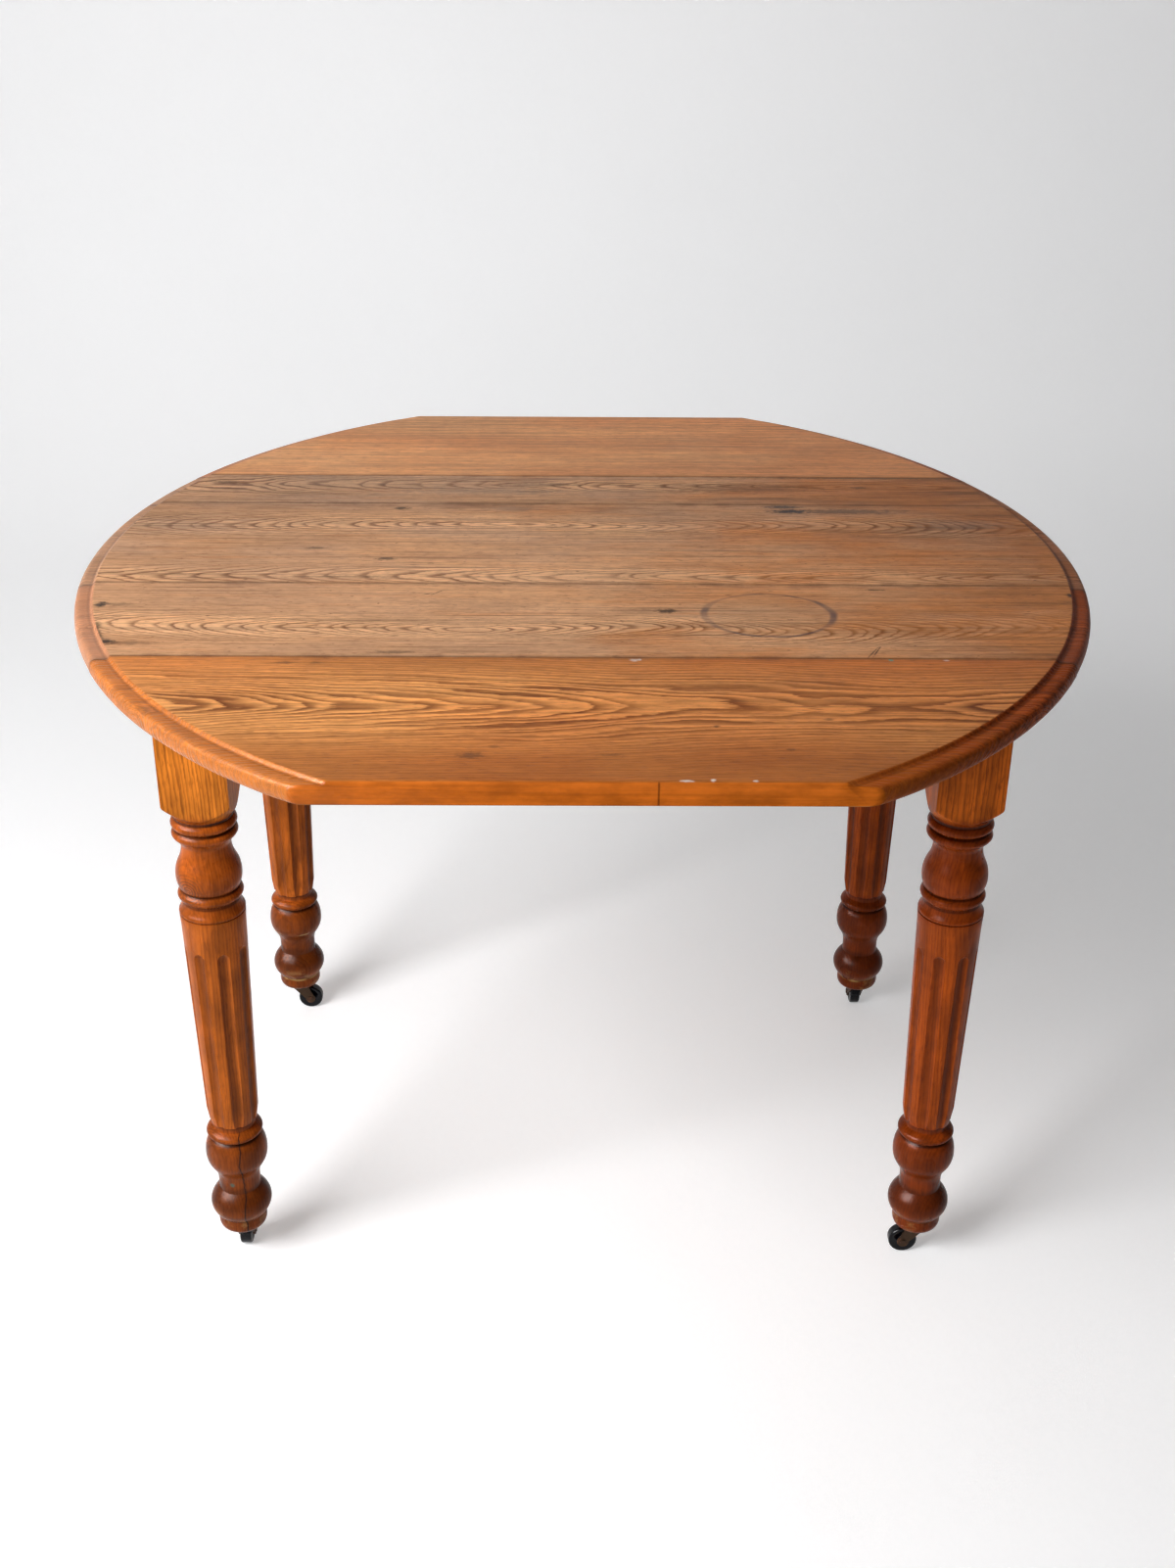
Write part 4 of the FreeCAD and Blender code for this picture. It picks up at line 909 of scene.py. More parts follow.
def leg_material(finishes):
    """Red-brown varnished wood of the legs: dark in the grooves, worn on the block, painted shade on the
    right-hand legs.
    """
    material, build = new_material("leg wood")
    place = build.attribute("grain", "Vector")
    across, down, along = build.split(place)
    ring, tone, _ = growth_rings(build, along, across, down, LEG_GRAIN)
    lines = ring_lines(build, ring, tone, 0.6)
    streak = fibres(build, along, across, down, 0.45)
    dash = pores(build, along, across, down)
    spot = build.place()
    side, _, height = build.split(spot)
    mottle = build.cloud(place, (30.0, 30.0, 18.0))
    worn = build.scaled(build.minus(mottle, 0.5), 30 * MM, height)
    block = build.smooth(worn, *BLOCK_BASE)
    column = build.times(build.smooth(worn, *COLUMN_BASE), build.smooth(worn, *COLUMN_HEAD, 1.0, 0.0))
    bare = build.larger(block, build.times(column, 0.2))
    dark = linear(finishes.leg_dark)
    colour = build.mix(bare, linear(finishes.leg_light), linear(finishes.block_light))
    colour = build.mix(build.times(lines, build.scaled(bare, 0.20, 0.42)), colour, dark)
    colour = build.darken(colour, build.smooth(streak, 0.30, 0.70, 0.68, 1.20))
    colour = build.darken(colour, build.smooth(mottle, 0.25, 0.75, 0.66, 1.20))
    colour = build.mix(build.times(dash, 0.4), colour, dark)
    colour = leg_dirt_and_shade(build, colour, finishes, worn, mottle)
    # Painted shade: the legs on the right are deepened and reddened
    deep = build.tint(colour, build.mix(block, RIGHT_LEG_SHADE, RIGHT_BLOCK_SHADE))
    colour = build.mix(build.smooth(side, *RIGHT_SHADE_X), colour, deep)
    colour = foot_wear(build, colour, finishes, spot, worn)
    colour = foot_marks(build, vase_knot(build, colour, spot), spot)
    gloss = build.scaled(mottle, 0.16, build.scaled(bare, 0.20, 0.20))
    relief = build.scaled(lines, -0.5, build.times(streak, 0.5))
    close_material(build, colour, gloss, build.bump(relief, 0.3, WOOD_RELIEF), {"Specular IOR Level": 0.08})
    return material


def inner_material(name, finishes, axis):
    """Plain stained wood of a piece under the top, with its grain along one axis."""
    material, build = new_material(name)
    place = build.place()
    parts = build.split(place)
    order = {"X": (0, 1, 2), "Y": (1, 0, 2)}[axis]
    along, across, down = (parts[i] for i in order)
    ring, tone, _ = growth_rings(build, along, across, down, APRON_GRAIN)
    lines = ring_lines(build, ring, tone, 0.6)
    streak = fibres(build, along, across, down, 0.45)
    colour = build.mix(build.times(lines, 0.7), linear(finishes.inner_light), linear(finishes.inner_dark))
    colour = build.darken(colour, build.smooth(streak, 0.28, 0.72, 0.76, 1.14))
    soot = build.patches(place, SOOT_STRETCH, (0.45, 0.75), (0.0, 0.45), 4.0)
    colour = build.mix(soot, colour, linear(finishes.leg_dark))
    relief = build.scaled(lines, -0.5, build.times(streak, 0.6))
    close_material(build, colour, build.scaled(streak, 0.2, 0.5), build.bump(relief, 0.4, WOOD_RELIEF))
    return material


def metal_material(name, base, spots, roughness, share):
    """Old metal with a skin of rust or patina in patches."""
    material, build = new_material(name)
    place = build.place()
    skin = build.patches(place, (90.0, 90.0, 90.0), (0.62 - 0.3 * share, 0.70), detail=5.0, roughness=0.65)
    pits = build.cloud(place, (700.0, 700.0, 700.0))
    colour = build.mix(skin, linear(base), linear(spots))
    metallic = build.scaled(skin, -0.7, 0.95)
    gloss = build.scaled(skin, 0.3, build.scaled(pits, 0.2, roughness))
    close_material(build, colour, gloss, build.bump(pits, 0.25, METAL_RELIEF), {"Metallic": metallic})
    return material


def wheel_material(finishes):
    """Hard black wheel with a little grey dust."""
    material, build = new_material("wheel black")
    dust = build.cloud(build.place(), (160.0, 160.0, 160.0), 4.0)
    colour = build.mix(build.smooth(dust, 0.58, 0.80, 0.0, 0.25), linear(finishes.wheel), WHEEL_DUST_TINT)
    gloss = build.scaled(dust, 0.20, 0.06)
    close_material(build, colour, gloss, build.bump(dust, 0.2, METAL_RELIEF), {"Specular IOR Level": 0.18})
    return material


def give_material(node, material):
    """New finish for a piece that keeps its construction mesh."""
    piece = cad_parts[node]
    piece.data.materials.clear()
    piece.data.materials.append(material)


def new_piece(name, mesh, material, body, slot, *nodes):
    """Finished piece in place of construction nodes, riding on a body."""
    piece = bpy.data.objects.new(name, mesh)
    bpy.context.scene.collection.objects.link(piece)
    mesh.materials.clear()
    mesh.materials.append(material)
    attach(piece, body)
    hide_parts(*nodes)


def smooth_faces(mesh, angle):
    """Smooth shading that stays sharp at edges over an angle in degrees."""
    mesh.shade_smooth()
    mesh.set_sharp_from_angle(angle=math.radians(angle))


def bezier(points, share):
    """Point of a curve drawn towards the inner points."""
    while len(points) > 1:
        points = [a.lerp(b, share) for a, b in zip(points, points[1:])]
    return points[0]


def trace(start, turning, step):
    """Points of a turned profile in metres, close enough for smooth shading."""
    at = Vector(start) * MM
    points = [at]
    for _, poles in turning:
        guide = [at] + [Vector(pole) * MM for pole in poles]
        span = sum((b - a).length for a, b in zip(guide, guide[1:]))
        count = max(2, math.ceil(span / step)) if len(poles) > 1 else 1
        points += [bezier(guide, i / count) for i in range(1, count + 1)]
        at = guide[-1]
    return points


def profile_mesh(name, points):
    """Chain of points in the XZ plane, with the share of old varnish and painted shade that grooves hold."""
    mesh = bpy.data.meshes.new(name)
    mesh.from_pydata([(p.x, 0, p.y) for p in points], [(i, i + 1) for i in range(len(points) - 1)], [])
    grime = mesh.attributes.new("grime", "FLOAT", "POINT")
    for item, point in zip(grime.data, points):
        below = max(p.x for p in points if -GROOVE_REACH < p.y - point.y <= 0)
        above = max(p.x for p in points if 0 <= p.y - point.y < GROOVE_REACH)
        hollow = (min(below, above) - point.x) / GROOVE_DEPTH
        item.value = min(1.0, max(0.0, hollow))
    return mesh


def sampled(build, profile, row, field, kind):
    """Field of a profile, read at one of its points."""
    values = {"Geometry": profile, "Index": row}
    node = build.add("GeometryNodeSampleIndex", values, data_type=kind, domain="POINT")
    build.feed(node.inputs["Value"], field)
    return node.outputs[0]


def flute_bore(build, given, height):
    """Distance of a flute's axis, its squared radius, less in the round nose, and where it is cut."""
    axis = build.scaled(height, given["Flute Lean"], given["Flute Reach"])
    above = build.larger(build.minus(height, given["Flute Nose"]), 0.0)
    bore = build.times(given["Flute Radius"], given["Flute Radius"])
    bore = build.minus(bore, build.times(above, above))
    fluted = build.times(build.math("GREATER_THAN", bore, 0.0),
                         build.math("GREATER_THAN", height, given["Flute Foot"]))
    return axis, bore, fluted


def flute_edge(build, axis, radius, bore, fluted, half_step):
    """Angle from a flute's middle to its edge, and a plain share of the step where there is no flute."""
    spread = build.plus(build.times(axis, axis), build.times(radius, radius))
    spread = build.math("DIVIDE", build.minus(spread, bore), build.times(axis, radius))
    edge = build.math("ARCCOSINE", build.math("MINIMUM", build.times(spread, 0.5), 1.0))
    plain = build.times(half_step, FLUTE_COLUMNS)
    return build.scaled(build.minus(edge, plain), fluted, plain)


def drawn_columns(build, turn, half_step, edge):
    """Turn of the grid's columns, drawn to the flutes' edges to keep these crisp, and angle to a flute."""
    sector = build.math("WRAP", build.minus(turn, half_step), half_step, build.times(half_step, -1))
    part = build.math("DIVIDE", build.math("ABSOLUTE", sector), half_step)
    inner = build.times(build.math("DIVIDE", part, FLUTE_COLUMNS), edge)
    rest = build.math("DIVIDE", build.minus(part, FLUTE_COLUMNS), 1.0 - FLUTE_COLUMNS)
    outer = build.scaled(rest, build.minus(half_step, edge), edge)
    beyond = build.math("GREATER_THAN", part, FLUTE_COLUMNS)
    aside = build.scaled(build.minus(outer, inner), beyond, inner)
    aside = build.times(aside, build.math("SIGN", sector))
    return build.plus(build.minus(turn, sector), aside), aside


def flute_cut(build, axis, aside, bore, fluted, radius):
    """How deep a flute is cut at an angle from its middle."""
    side = build.times(axis, build.math("SINE", aside))
    room = build.minus(bore, build.times(side, side))
    floor = build.times(axis, build.math("COSINE", aside))
    floor = build.minus(floor, build.math("SQRT", build.larger(room, 0.0)))
    fluted = build.times(fluted, build.math("GREATER_THAN", room, 0.0))
    return build.times(build.larger(build.minus(radius, floor), 0.0), fluted)


def turned_piece_tree():
    """Turns a profile about Z, keeps it within a square blank and cuts flutes that lean with the taper."""
    tree = bpy.data.node_groups.new("turned piece", "GeometryNodeTree")
    add_sockets(tree, (("Profile", "Geometry"), ("Segments", "Int"), ("Blank Half", "Float"),
                       ("Flutes", "Int"), ("Flute Radius", "Float"), ("Flute Reach", "Float"),
                       ("Flute Lean", "Float"), ("Flute Foot", "Float"), ("Flute Nose", "Float"),
                       ("Flute Depth", "Float"), ("Relief Start", "Float"), ("Finish", "Material")),
                ("Piece", "Geometry"))
    build = NodeBuilder(tree)
    given = build.add("NodeGroupInput").outputs
    profile = given["Profile"]
    size = build.add("GeometryNodeAttributeDomainSize", {"Geometry": profile}, component="MESH")
    rows = size.outputs["Point Count"]
    columns = build.plus(given["Segments"], 1)
    grid = build.add("GeometryNodeMeshGrid",
                     {"Size X": 1, "Size Y": 1, "Vertices X": columns, "Vertices Y": rows})
    position = build.add("GeometryNodeInputPosition").outputs[0]
    u, v, _ = build.split(position)
    turn = build.times(build.plus(u, 0.5), math.tau)
    row = build.math("ROUND", build.times(build.plus(v, 0.5), build.minus(rows, 1)))
    radius, _, height = build.split(sampled(build, profile, row, position, "FLOAT_VECTOR"))
    half_step = build.math("DIVIDE", math.pi, given["Flutes"])
    axis, bore, fluted = flute_bore(build, given, height)
    edge = flute_edge(build, axis, radius, bore, fluted, half_step)
    turn, aside = drawn_columns(build, turn, half_step, edge)
    cosine = build.math("COSINE", turn)
    sine = build.math("SINE", turn)
    widest = build.larger(build.math("ABSOLUTE", cosine), build.math("ABSOLUTE", sine))
    radius = build.math("MINIMUM", radius, build.math("DIVIDE", given["Blank Half"], widest))
    depth = flute_cut(build, axis, aside, bore, fluted, radius)
    radius = build.minus(radius, depth)
    lost = build.larger(build.minus(height, given["Relief Start"]), 0.0)
    deep = build.math("MINIMUM", build.times(radius, sine), build.minus(given["Blank Half"], lost))
    spot = build.join(build.times(radius, cosine), deep, height)
    named = build.add("GeometryNodeInputNamedAttribute", {"Name": "grime"}, data_type="FLOAT")
    grime = sampled(build, profile, row, named.outputs["Attribute"], "FLOAT")
    hollow = build.math("DIVIDE", depth, build.larger(given["Flute Depth"], SHALLOWEST))
    piece = grid.outputs["Mesh"]
    for name, value in (("grime", grime), ("hollow", hollow)):
        values = {"Geometry": piece, "Name": name, "Value": value}
        store = build.add("GeometryNodeStoreNamedAttribute", values, data_type="FLOAT", domain="POINT")
        piece = store.outputs[0]
    piece = build.add("GeometryNodeSetPosition", {"Geometry": piece, "Position": spot}).outputs[0]
    piece = build.add("GeometryNodeMergeByDistance", {"Geometry": piece, "Distance": GRID_WELD}).outputs[0]
    piece = build.add("GeometryNodeRealizeInstances", {"Geometry": piece}).outputs[0]
    piece = build.add("GeometryNodeSetMaterial", {"Geometry": piece, "Material": given["Finish"]}).outputs[0]
    build.add("NodeGroupOutput", {"Piece": piece})


def screw_shape(build, given):
    """One slotted screw with the middle of its head at the origin, pointing along Z."""
    cone = build.times(build.minus(given["Head"], given["Shank"]), 0.5)
    heights = (0.0, cone, build.times(given["Length"], SCREW_POINT), given["Length"])
    radii = [build.times(given[name], share)
             for name, share in (("Head", 0.5), ("Shank", 0.5), ("Shank", 0.5), ("Shank", SCREW_TIP))]
    steps = len(heights) - 1
    rod = build.add("GeometryNodeMeshCylinder",
                    {"Vertices": given["Sides"], "Side Segments": steps, "Radius": 1.0, "Depth": 1.0})
    x, y, z = build.split(build.add("GeometryNodeInputPosition").outputs[0])
    row = build.math("ROUND", build.times(build.plus(z, 0.5), steps))
    radius = build.choose(row, radii)
    spot = build.join(build.times(x, radius), build.times(y, radius), build.choose(row, heights))
    screw = build.add("GeometryNodeSetPosition", {"Geometry": rod.outputs["Mesh"], "Position": spot})
    size = build.join(build.times(given["Head"], SLOT_LENGTH), given["Slot Width"],
                      build.times(given["Slot Depth"], 2.0))
    driver = build.add("GeometryNodeMeshCube", {"Size": size}).outputs["Mesh"]
    meshes = {"Mesh 1": screw.outputs[0], "Mesh 2": driver}
    return build.add("GeometryNodeMeshBoolean", meshes, operation="DIFFERENCE").outputs[0]


def screw_tree():
    """Slotted countersunk screws at points, each driven along its axis attribute and turned at random."""
    tree = bpy.data.node_groups.new("slotted screws", "GeometryNodeTree")
    add_sockets(tree, (("Places", "Geometry"), ("Sides", "Int"), ("Head", "Float"), ("Shank", "Float"),
                       ("Length", "Float"), ("Slot Width", "Float"), ("Slot Depth", "Float"),
                       ("Seed", "Int"), ("Finish", "Material")), ("Screws", "Geometry"))
    build = NodeBuilder(tree)
    given = build.add("NodeGroupInput").outputs
    screw = screw_shape(build, given)
    axis = build.add("GeometryNodeInputNamedAttribute", {"Name": "axis"}, data_type="FLOAT_VECTOR")
    aim = build.add("FunctionNodeAlignRotationToVector", {"Vector": axis.outputs["Attribute"]}, axis="Z")
    spin = build.add("FunctionNodeRandomValue", {"Seed": given["Seed"]}, data_type="FLOAT")
    build.feed(spin.inputs[3], math.tau)
    turn = build.add("FunctionNodeEulerToRotation", {0: build.join(0.0, 0.0, spin.outputs[1])})
    aim = build.add("FunctionNodeRotateRotation", {0: aim.outputs[0], 1: turn.outputs[0]},
                    rotation_space="LOCAL")
    screws = build.add("GeometryNodeInstanceOnPoints",
                       {"Points": given["Places"], "Instance": screw, "Rotation": aim.outputs[0]}).outputs[0]
    screws = build.add("GeometryNodeRealizeInstances", {"Geometry": screws}).outputs[0]
    finished = build.add("GeometryNodeSetMaterial", {"Geometry": screws, "Material": given["Finish"]})
    build.add("NodeGroupOutput", {"Screws": finished.outputs[0]})


def screw_mesh(places, inputs):
    """Screws at (head centre, axis) pairs."""
    points = bpy.data.meshes.new("screw places")
    points.from_pydata([spot for spot, _ in places], [], [])
    axes = points.attributes.new("axis", "FLOAT_VECTOR", "POINT")
    axes.data.foreach_set("vector", [value for _, axis in places for value in axis])
    mesh = grow(points, bpy.data.node_groups["slotted screws"], inputs)
    outward(mesh)
    smooth_faces(mesh, SCREW_CREASE)
    return mesh


def grow(base, tree, inputs):
    """Plain mesh made by a geometry tree from a base mesh and named inputs."""
    carrier = bpy.data.objects.new("carrier", base)
    bpy.context.scene.collection.objects.link(carrier)
    modifier = carrier.modifiers.new("shape", "NODES")
    modifier.node_group = tree
    for item in tree.interface.items_tree:
        if item.in_out == "INPUT" and item.name in inputs:
            modifier[item.identifier] = inputs[item.name]
    evaluated = carrier.evaluated_get(bpy.context.evaluated_depsgraph_get())
    mesh = bpy.data.meshes.new_from_object(evaluated)
    carrier.modifiers.remove(modifier)
    bpy.data.objects.remove(carrier)
    return mesh


def outward(mesh):
    """Merges doubles and turns all faces outwards."""
    work = bmesh.new()
    work.from_mesh(mesh)
    bmesh.ops.remove_doubles(work, verts=work.verts, dist=DOUBLES)
    bmesh.ops.recalc_face_normals(work, faces=work.faces)
    work.to_mesh(mesh)
    work.free()


def rim_section(sizes):
    """Moulding from the flat of the top down to the underside, as steps outward and heights."""
    arris = sizes.arris
    edge = sizes.rim_width
    shoulder = TOP - sizes.rim_step
    foot = UNDERSIDE + sizes.rim_foot
    section = [Vector((arris * (math.sin(a) - 1), TOP + arris * (math.cos(a) - 1)))
               for a in (math.radians(ARRIS_STEP * i) for i in range(ARRIS_STEPS + 1))]
    slope = math.radians(ARRIS_STEP * ARRIS_STEPS)
    fall = Vector((math.cos(slope), -math.sin(slope))) * arris * COVE_ENTRY
    guide = [section[-1], section[-1] + fall, Vector((sizes.cove * COVE_DEEPEST, shoulder)),
             Vector((sizes.cove, shoulder))]
    section += [bezier(guide, i / COVE_STEPS) for i in range(1, COVE_STEPS)]
    guide = [Vector((sizes.cove, shoulder)), Vector((edge * ROLL_START, shoulder)),
             Vector((edge, shoulder - sizes.rim_step / 4)), Vector((edge, foot))]
    section += [bezier(guide, i / ROLL_STEPS) for i in range(ROLL_STEPS + 1)]
    section += [Vector((edge + sizes.rim_under * (math.cos(a) - 1),
                        UNDERSIDE + sizes.rim_foot * (1 - math.sin(a))))
                for a in (math.radians(90 * i / FOOT_STEPS) for i in range(1, FOOT_STEPS + 1))]
    return section


def rounding(radius):
    """Steps in from a rounded edge and down from the top, from its inner end to the edge."""
    angles = [math.radians(90 * i / EASE_STEPS) for i in range(EASE_STEPS + 1)]
    return [(radius * (1 - math.sin(angle)), radius * (1 - math.cos(angle))) for angle in angles]


def stations(low, high, low_round, high_round, spacing):
    """Places across a board, with how far the top falls away at its rounded edges."""
    spots = [(low + inward, drop) for inward, drop in reversed(rounding(low_round))]
    start = low + low_round
    end = high - high_round
    count = max(2, math.ceil((end - start) / spacing))
    spots += [(start + (end - start) * i / count, 0.0) for i in range(1, count)]
    spots += [(high - inward, drop) for inward, drop in rounding(high_round)]
    return spots


def drawn_in(sizes, away):
    """How far the moulding draws in at a distance from a leaf's free end."""
    drawn = sizes.corner_ease * max(0.0, 1 - away / sizes.corner_reach) ** 2
    tip = max(0.0, sizes.corner_round - away)
    return drawn + (sizes.corner_round - math.sqrt(sizes.corner_round ** 2 - tip ** 2))


def board_loop(y, drop, sizes, section, inset, drawn):
    """Section through a board at one place across it: X, height and step outward of each point."""
    inner = HALF_LENGTH - sizes.rim_width
    end = sizes.straight_end / 2
    centre = (end ** 2 + HALF_DEPTH ** 2 - inner ** 2) / (2 * (inner - end))
    half = []
    for out, z in section:
        uneven = sizes.wear * (0.5 + 0.5 * noise.noise(Vector((y * WEAR_ACROSS, z * WEAR_DOWN, centre))))
        worn = uneven if out > WEAR_START else 0.0
        radius = inner + centre + out - worn - inset - drawn * max(0.0, out) / sizes.rim_width
        half.append((math.sqrt(radius ** 2 - y ** 2) - centre, min(z, TOP - drop), out))
    return [(-x, z, out) for x, z, out in half[::-1]] + half


def board_mesh(node, sizes, low_round, high_round, inset, joints):
    """One board of the top: sections across X, joined along Y and closed at both long edges."""
    low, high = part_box(node)
    section = rim_section(sizes)
    spots = stations(low.y, high.y, low_round, high_round, sizes.station)
    free = [edge for edge in (low.y, high.y) if edge not in joints]
    verts = []
    shares = {"rim": [], "seam": [], "joint": [], "end": [], "groove": []}
    for y, drop in spots:
        away = min((abs(y - edge) for edge in free), default=sizes.corner_reach)
        near, open_seam = min((abs(y - edge), strength) for edge, strength in joints.items())
        for x, z, out in board_loop(y, drop, sizes, section, inset, drawn_in(sizes, away)):
            verts.append((x, y, z))
            hollow = max(0.0, 1 - abs(out / sizes.cove - COVE_DEEPEST) / COVE_DEEPEST)
            shares["rim"].append(1.0 if out > RIM_START * sizes.arris else 0.0)
            shares["seam"].append(open_seam * max(0.0, 1.0 - near / SEAM_WIDTH))
            shares["joint"].append(open_seam * max(0.0, 1.0 - near / SMEAR_WIDTH))
            shares["end"].append(1.0 if free and away < END_SHARE * sizes.end_round else 0.0)
            shares["groove"].append(hollow if z > TOP - 2 * sizes.rim_step else 0.0)
    ring = len(section) * 2
    faces = [tuple(range(ring)), tuple(range(len(verts) - ring, len(verts)))]
    for a in range(0, len(verts) - ring, ring):
        b = a + ring
        faces += [(a + k, a + (k + 1) % ring, b + (k + 1) % ring, b + k) for k in range(ring)]
    mesh = bpy.data.meshes.new(f"{node} shape")
    mesh.from_pydata(verts, [], faces)
    for name, values in shares.items():
        mesh.attributes.new(name, "FLOAT", "POINT").data.foreach_set("value", values)
    outward(mesh)
    smooth_faces(mesh, BOARD_CREASE)
    return mesh


class TABLE_OT_fixed_top(bpy.types.Operator):
    """Make the four worn boards of the fixed top"""

    bl_idname = "table.fixed_top"
    bl_label = "Fixed top"

    def execute(self, context):
        sizes = context.scene.table_top
        finishes = context.scene.table_finishes
        for node in FIXED_BOARDS:
            low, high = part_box(node)
            joints = {y: GLUED_SEAMS.get(round(y, 3), 1.0) for y in (low.y, high.y)}
            mesh = board_mesh(node, sizes, sizes.joint_ease, sizes.joint_ease, FIXED_INSET, joints)
            front = node == "top_board_front"
            board = BoardFinish(
                light=finishes.fixed_light, plain=finishes.fixed_plain, dark=finishes.fixed_dark,
                rim=finishes.fixed_rim if front else finishes.bleached_rim, worn=FIXED_WEAR[node],
                line_width=0.55, line_strength=1.0, roughness=0.46, thick=0.9 if front else 0.5)
            wood = board_material(node, finishes, board)
            new_piece(node.replace("top_board", "fixed_board"), mesh, wood, "frame", "top_wood", node)
        return {"FINISHED"}


class TABLE_OT_leaves(bpy.types.Operator):
    """Make the front and the rear leaf"""

    bl_idname = "table.leaves"
    bl_label = "Leaves"

    def execute(self, context):
        sizes = context.scene.table_top
        finishes = context.scene.table_finishes
        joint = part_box("front_leaf")[1].y
        front = board_mesh("front_leaf", sizes, sizes.end_round, sizes.joint_ease, 0.0, {joint: LEAF_SEAM})
        board = BoardFinish(
            light=finishes.front_light, plain=finishes.front_plain, dark=finishes.front_dark,
            rim=finishes.rim, worn=0.0, line_width=0.88, line_strength=1.0, roughness=0.38, thick=0.9)
        wood = board_material("front_leaf", finishes, board)
        new_piece("hinged_leaf_front", front, wood, "front_leaf", "front_leaf_wood", "front_leaf")
        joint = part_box("rear_leaf")[0].y
        rear = board_mesh("rear_leaf", sizes, sizes.joint_ease, sizes.end_round, 0.0, {joint: LEAF_SEAM})
        board = BoardFinish(
            light=finishes.rear_light, plain=finishes.rear_light, dark=finishes.rear_dark,
            rim=finishes.rim, worn=0.0, line_width=0.5, line_strength=0.4, roughness=0.42, thick=0.9)
        wood = board_material("rear_leaf", finishes, board)
        new_piece("hinged_leaf_rear", rear, wood, "rear_leaf", "rear_leaf_wood", "rear_leaf")
        return {"FINISHED"}


class TABLE_OT_legs(bpy.types.Operator):
    """Turn and flute the four legs"""

    bl_idname = "table.legs"
    bl_label = "Turned legs"

    def execute(self, context):
        sizes = context.scene.table_legs
        wood = leg_material(context.scene.table_finishes)
        tree = bpy.data.node_groups["turned piece"]
        points = trace(LEG_START, LEG_TURNING, PROFILE_STEP)
        points = [Vector((0, points[0].y))] + points + [Vector((0, points[-1].y))]
        radius = (sizes.flute_width ** 2 / 4 + sizes.flute_depth ** 2) / (2 * sizes.flute_depth)
        lean = (COLUMN_TOP.x - COLUMN_FOOT.x) / (COLUMN_TOP.y - COLUMN_FOOT.y)
        inputs = {
            "Segments": sizes.segments,
            "Blank Half": sizes.blank / 2,
            "Flutes": sizes.flutes,
            "Flute Radius": radius,
            "Flute Reach": COLUMN_FOOT.x + radius - sizes.flute_depth - lean * COLUMN_FOOT.y,
            "Flute Lean": lean,
            "Flute Foot": COLUMN_FOOT.y - FLUTE_RUN_OUT,
            "Flute Nose": COLUMN_TOP.y - sizes.flute_drop - sizes.flute_width / 2,
            "Flute Depth": sizes.flute_depth,
            "Relief Start": UNDERSIDE - sizes.relief,
            "Finish": wood,
        }
        for index, corner in enumerate(CORNERS):
            mesh = grow(profile_mesh("leg profile", points), tree, inputs)
            if "front" in corner:
                mesh.transform(Matrix.Rotation(math.pi, 4, "Z"))
            outward(mesh)
            smooth_faces(mesh, LEG_CREASE)
            grain = mesh.attributes.new("grain", "FLOAT_VECTOR", "POINT")
            turn = Matrix.Rotation(math.radians(LEG_TURNS[corner]), 3, "Z")
            for vertex, item in zip(mesh.vertices, grain.data):
                item.vector = turn @ vertex.co + Vector((0, 0, LEG_GRAIN_STEP * index))
            low, high = CASTER_SPOTS[corner]
            axis = (low + high) / 2
            mesh.transform(Matrix.Translation((axis.x, axis.y, 0)))
            new_piece(f"turned_leg_{corner}", mesh, wood, "frame", "leg_wood", f"leg_{corner}")
        return {"FINISHED"}


class TABLE_OT_apron_frame(bpy.types.Operator):
    """Finish the aprons, glue blocks, knuckle rails and brackets"""

    bl_idname = "table.apron_frame"
    bl_label = "Apron frame and brackets"

    def execute(self, context):
        finishes = context.scene.table_finishes
        along_x = inner_material("apron wood along", finishes, "X")
        along_y = inner_material("apron wood across", finishes, "Y")
        for node in ("front_apron", "rear_apron", "front_knuckle_rail", "rear_knuckle_rail", "glue_blocks"):
            give_material(node, along_x)
        for node in ("left_apron", "right_apron"):
            give_material(node, along_y)
        for corner in CORNERS:
            give_material(f"bracket_{corner}", along_x)
        return {"FINISHED"}


class TABLE_OT_hinges(bpy.types.Operator):
    """Finish the leaf hinges and the pins"""

    bl_idname = "table.hinges"
    bl_label = "Hinges and pins"

    def execute(self, context):
        finishes = context.scene.table_finishes
        iron = metal_material("hinge iron", finishes.iron, finishes.rust, roughness=0.42, share=0.5)
        steel = metal_material("pin steel", finishes.steel, finishes.rust, roughness=0.32, share=0.3)
        for corner in CORNERS:
            give_material(f"hinge_fixed_flap_{corner}", iron)
            give_material(f"hinge_leaf_flap_{corner}", iron)
            give_material(f"hinge_pin_{corner}", steel)
            give_material(f"bracket_pin_{corner}", steel)
        return {"FINISHED"}


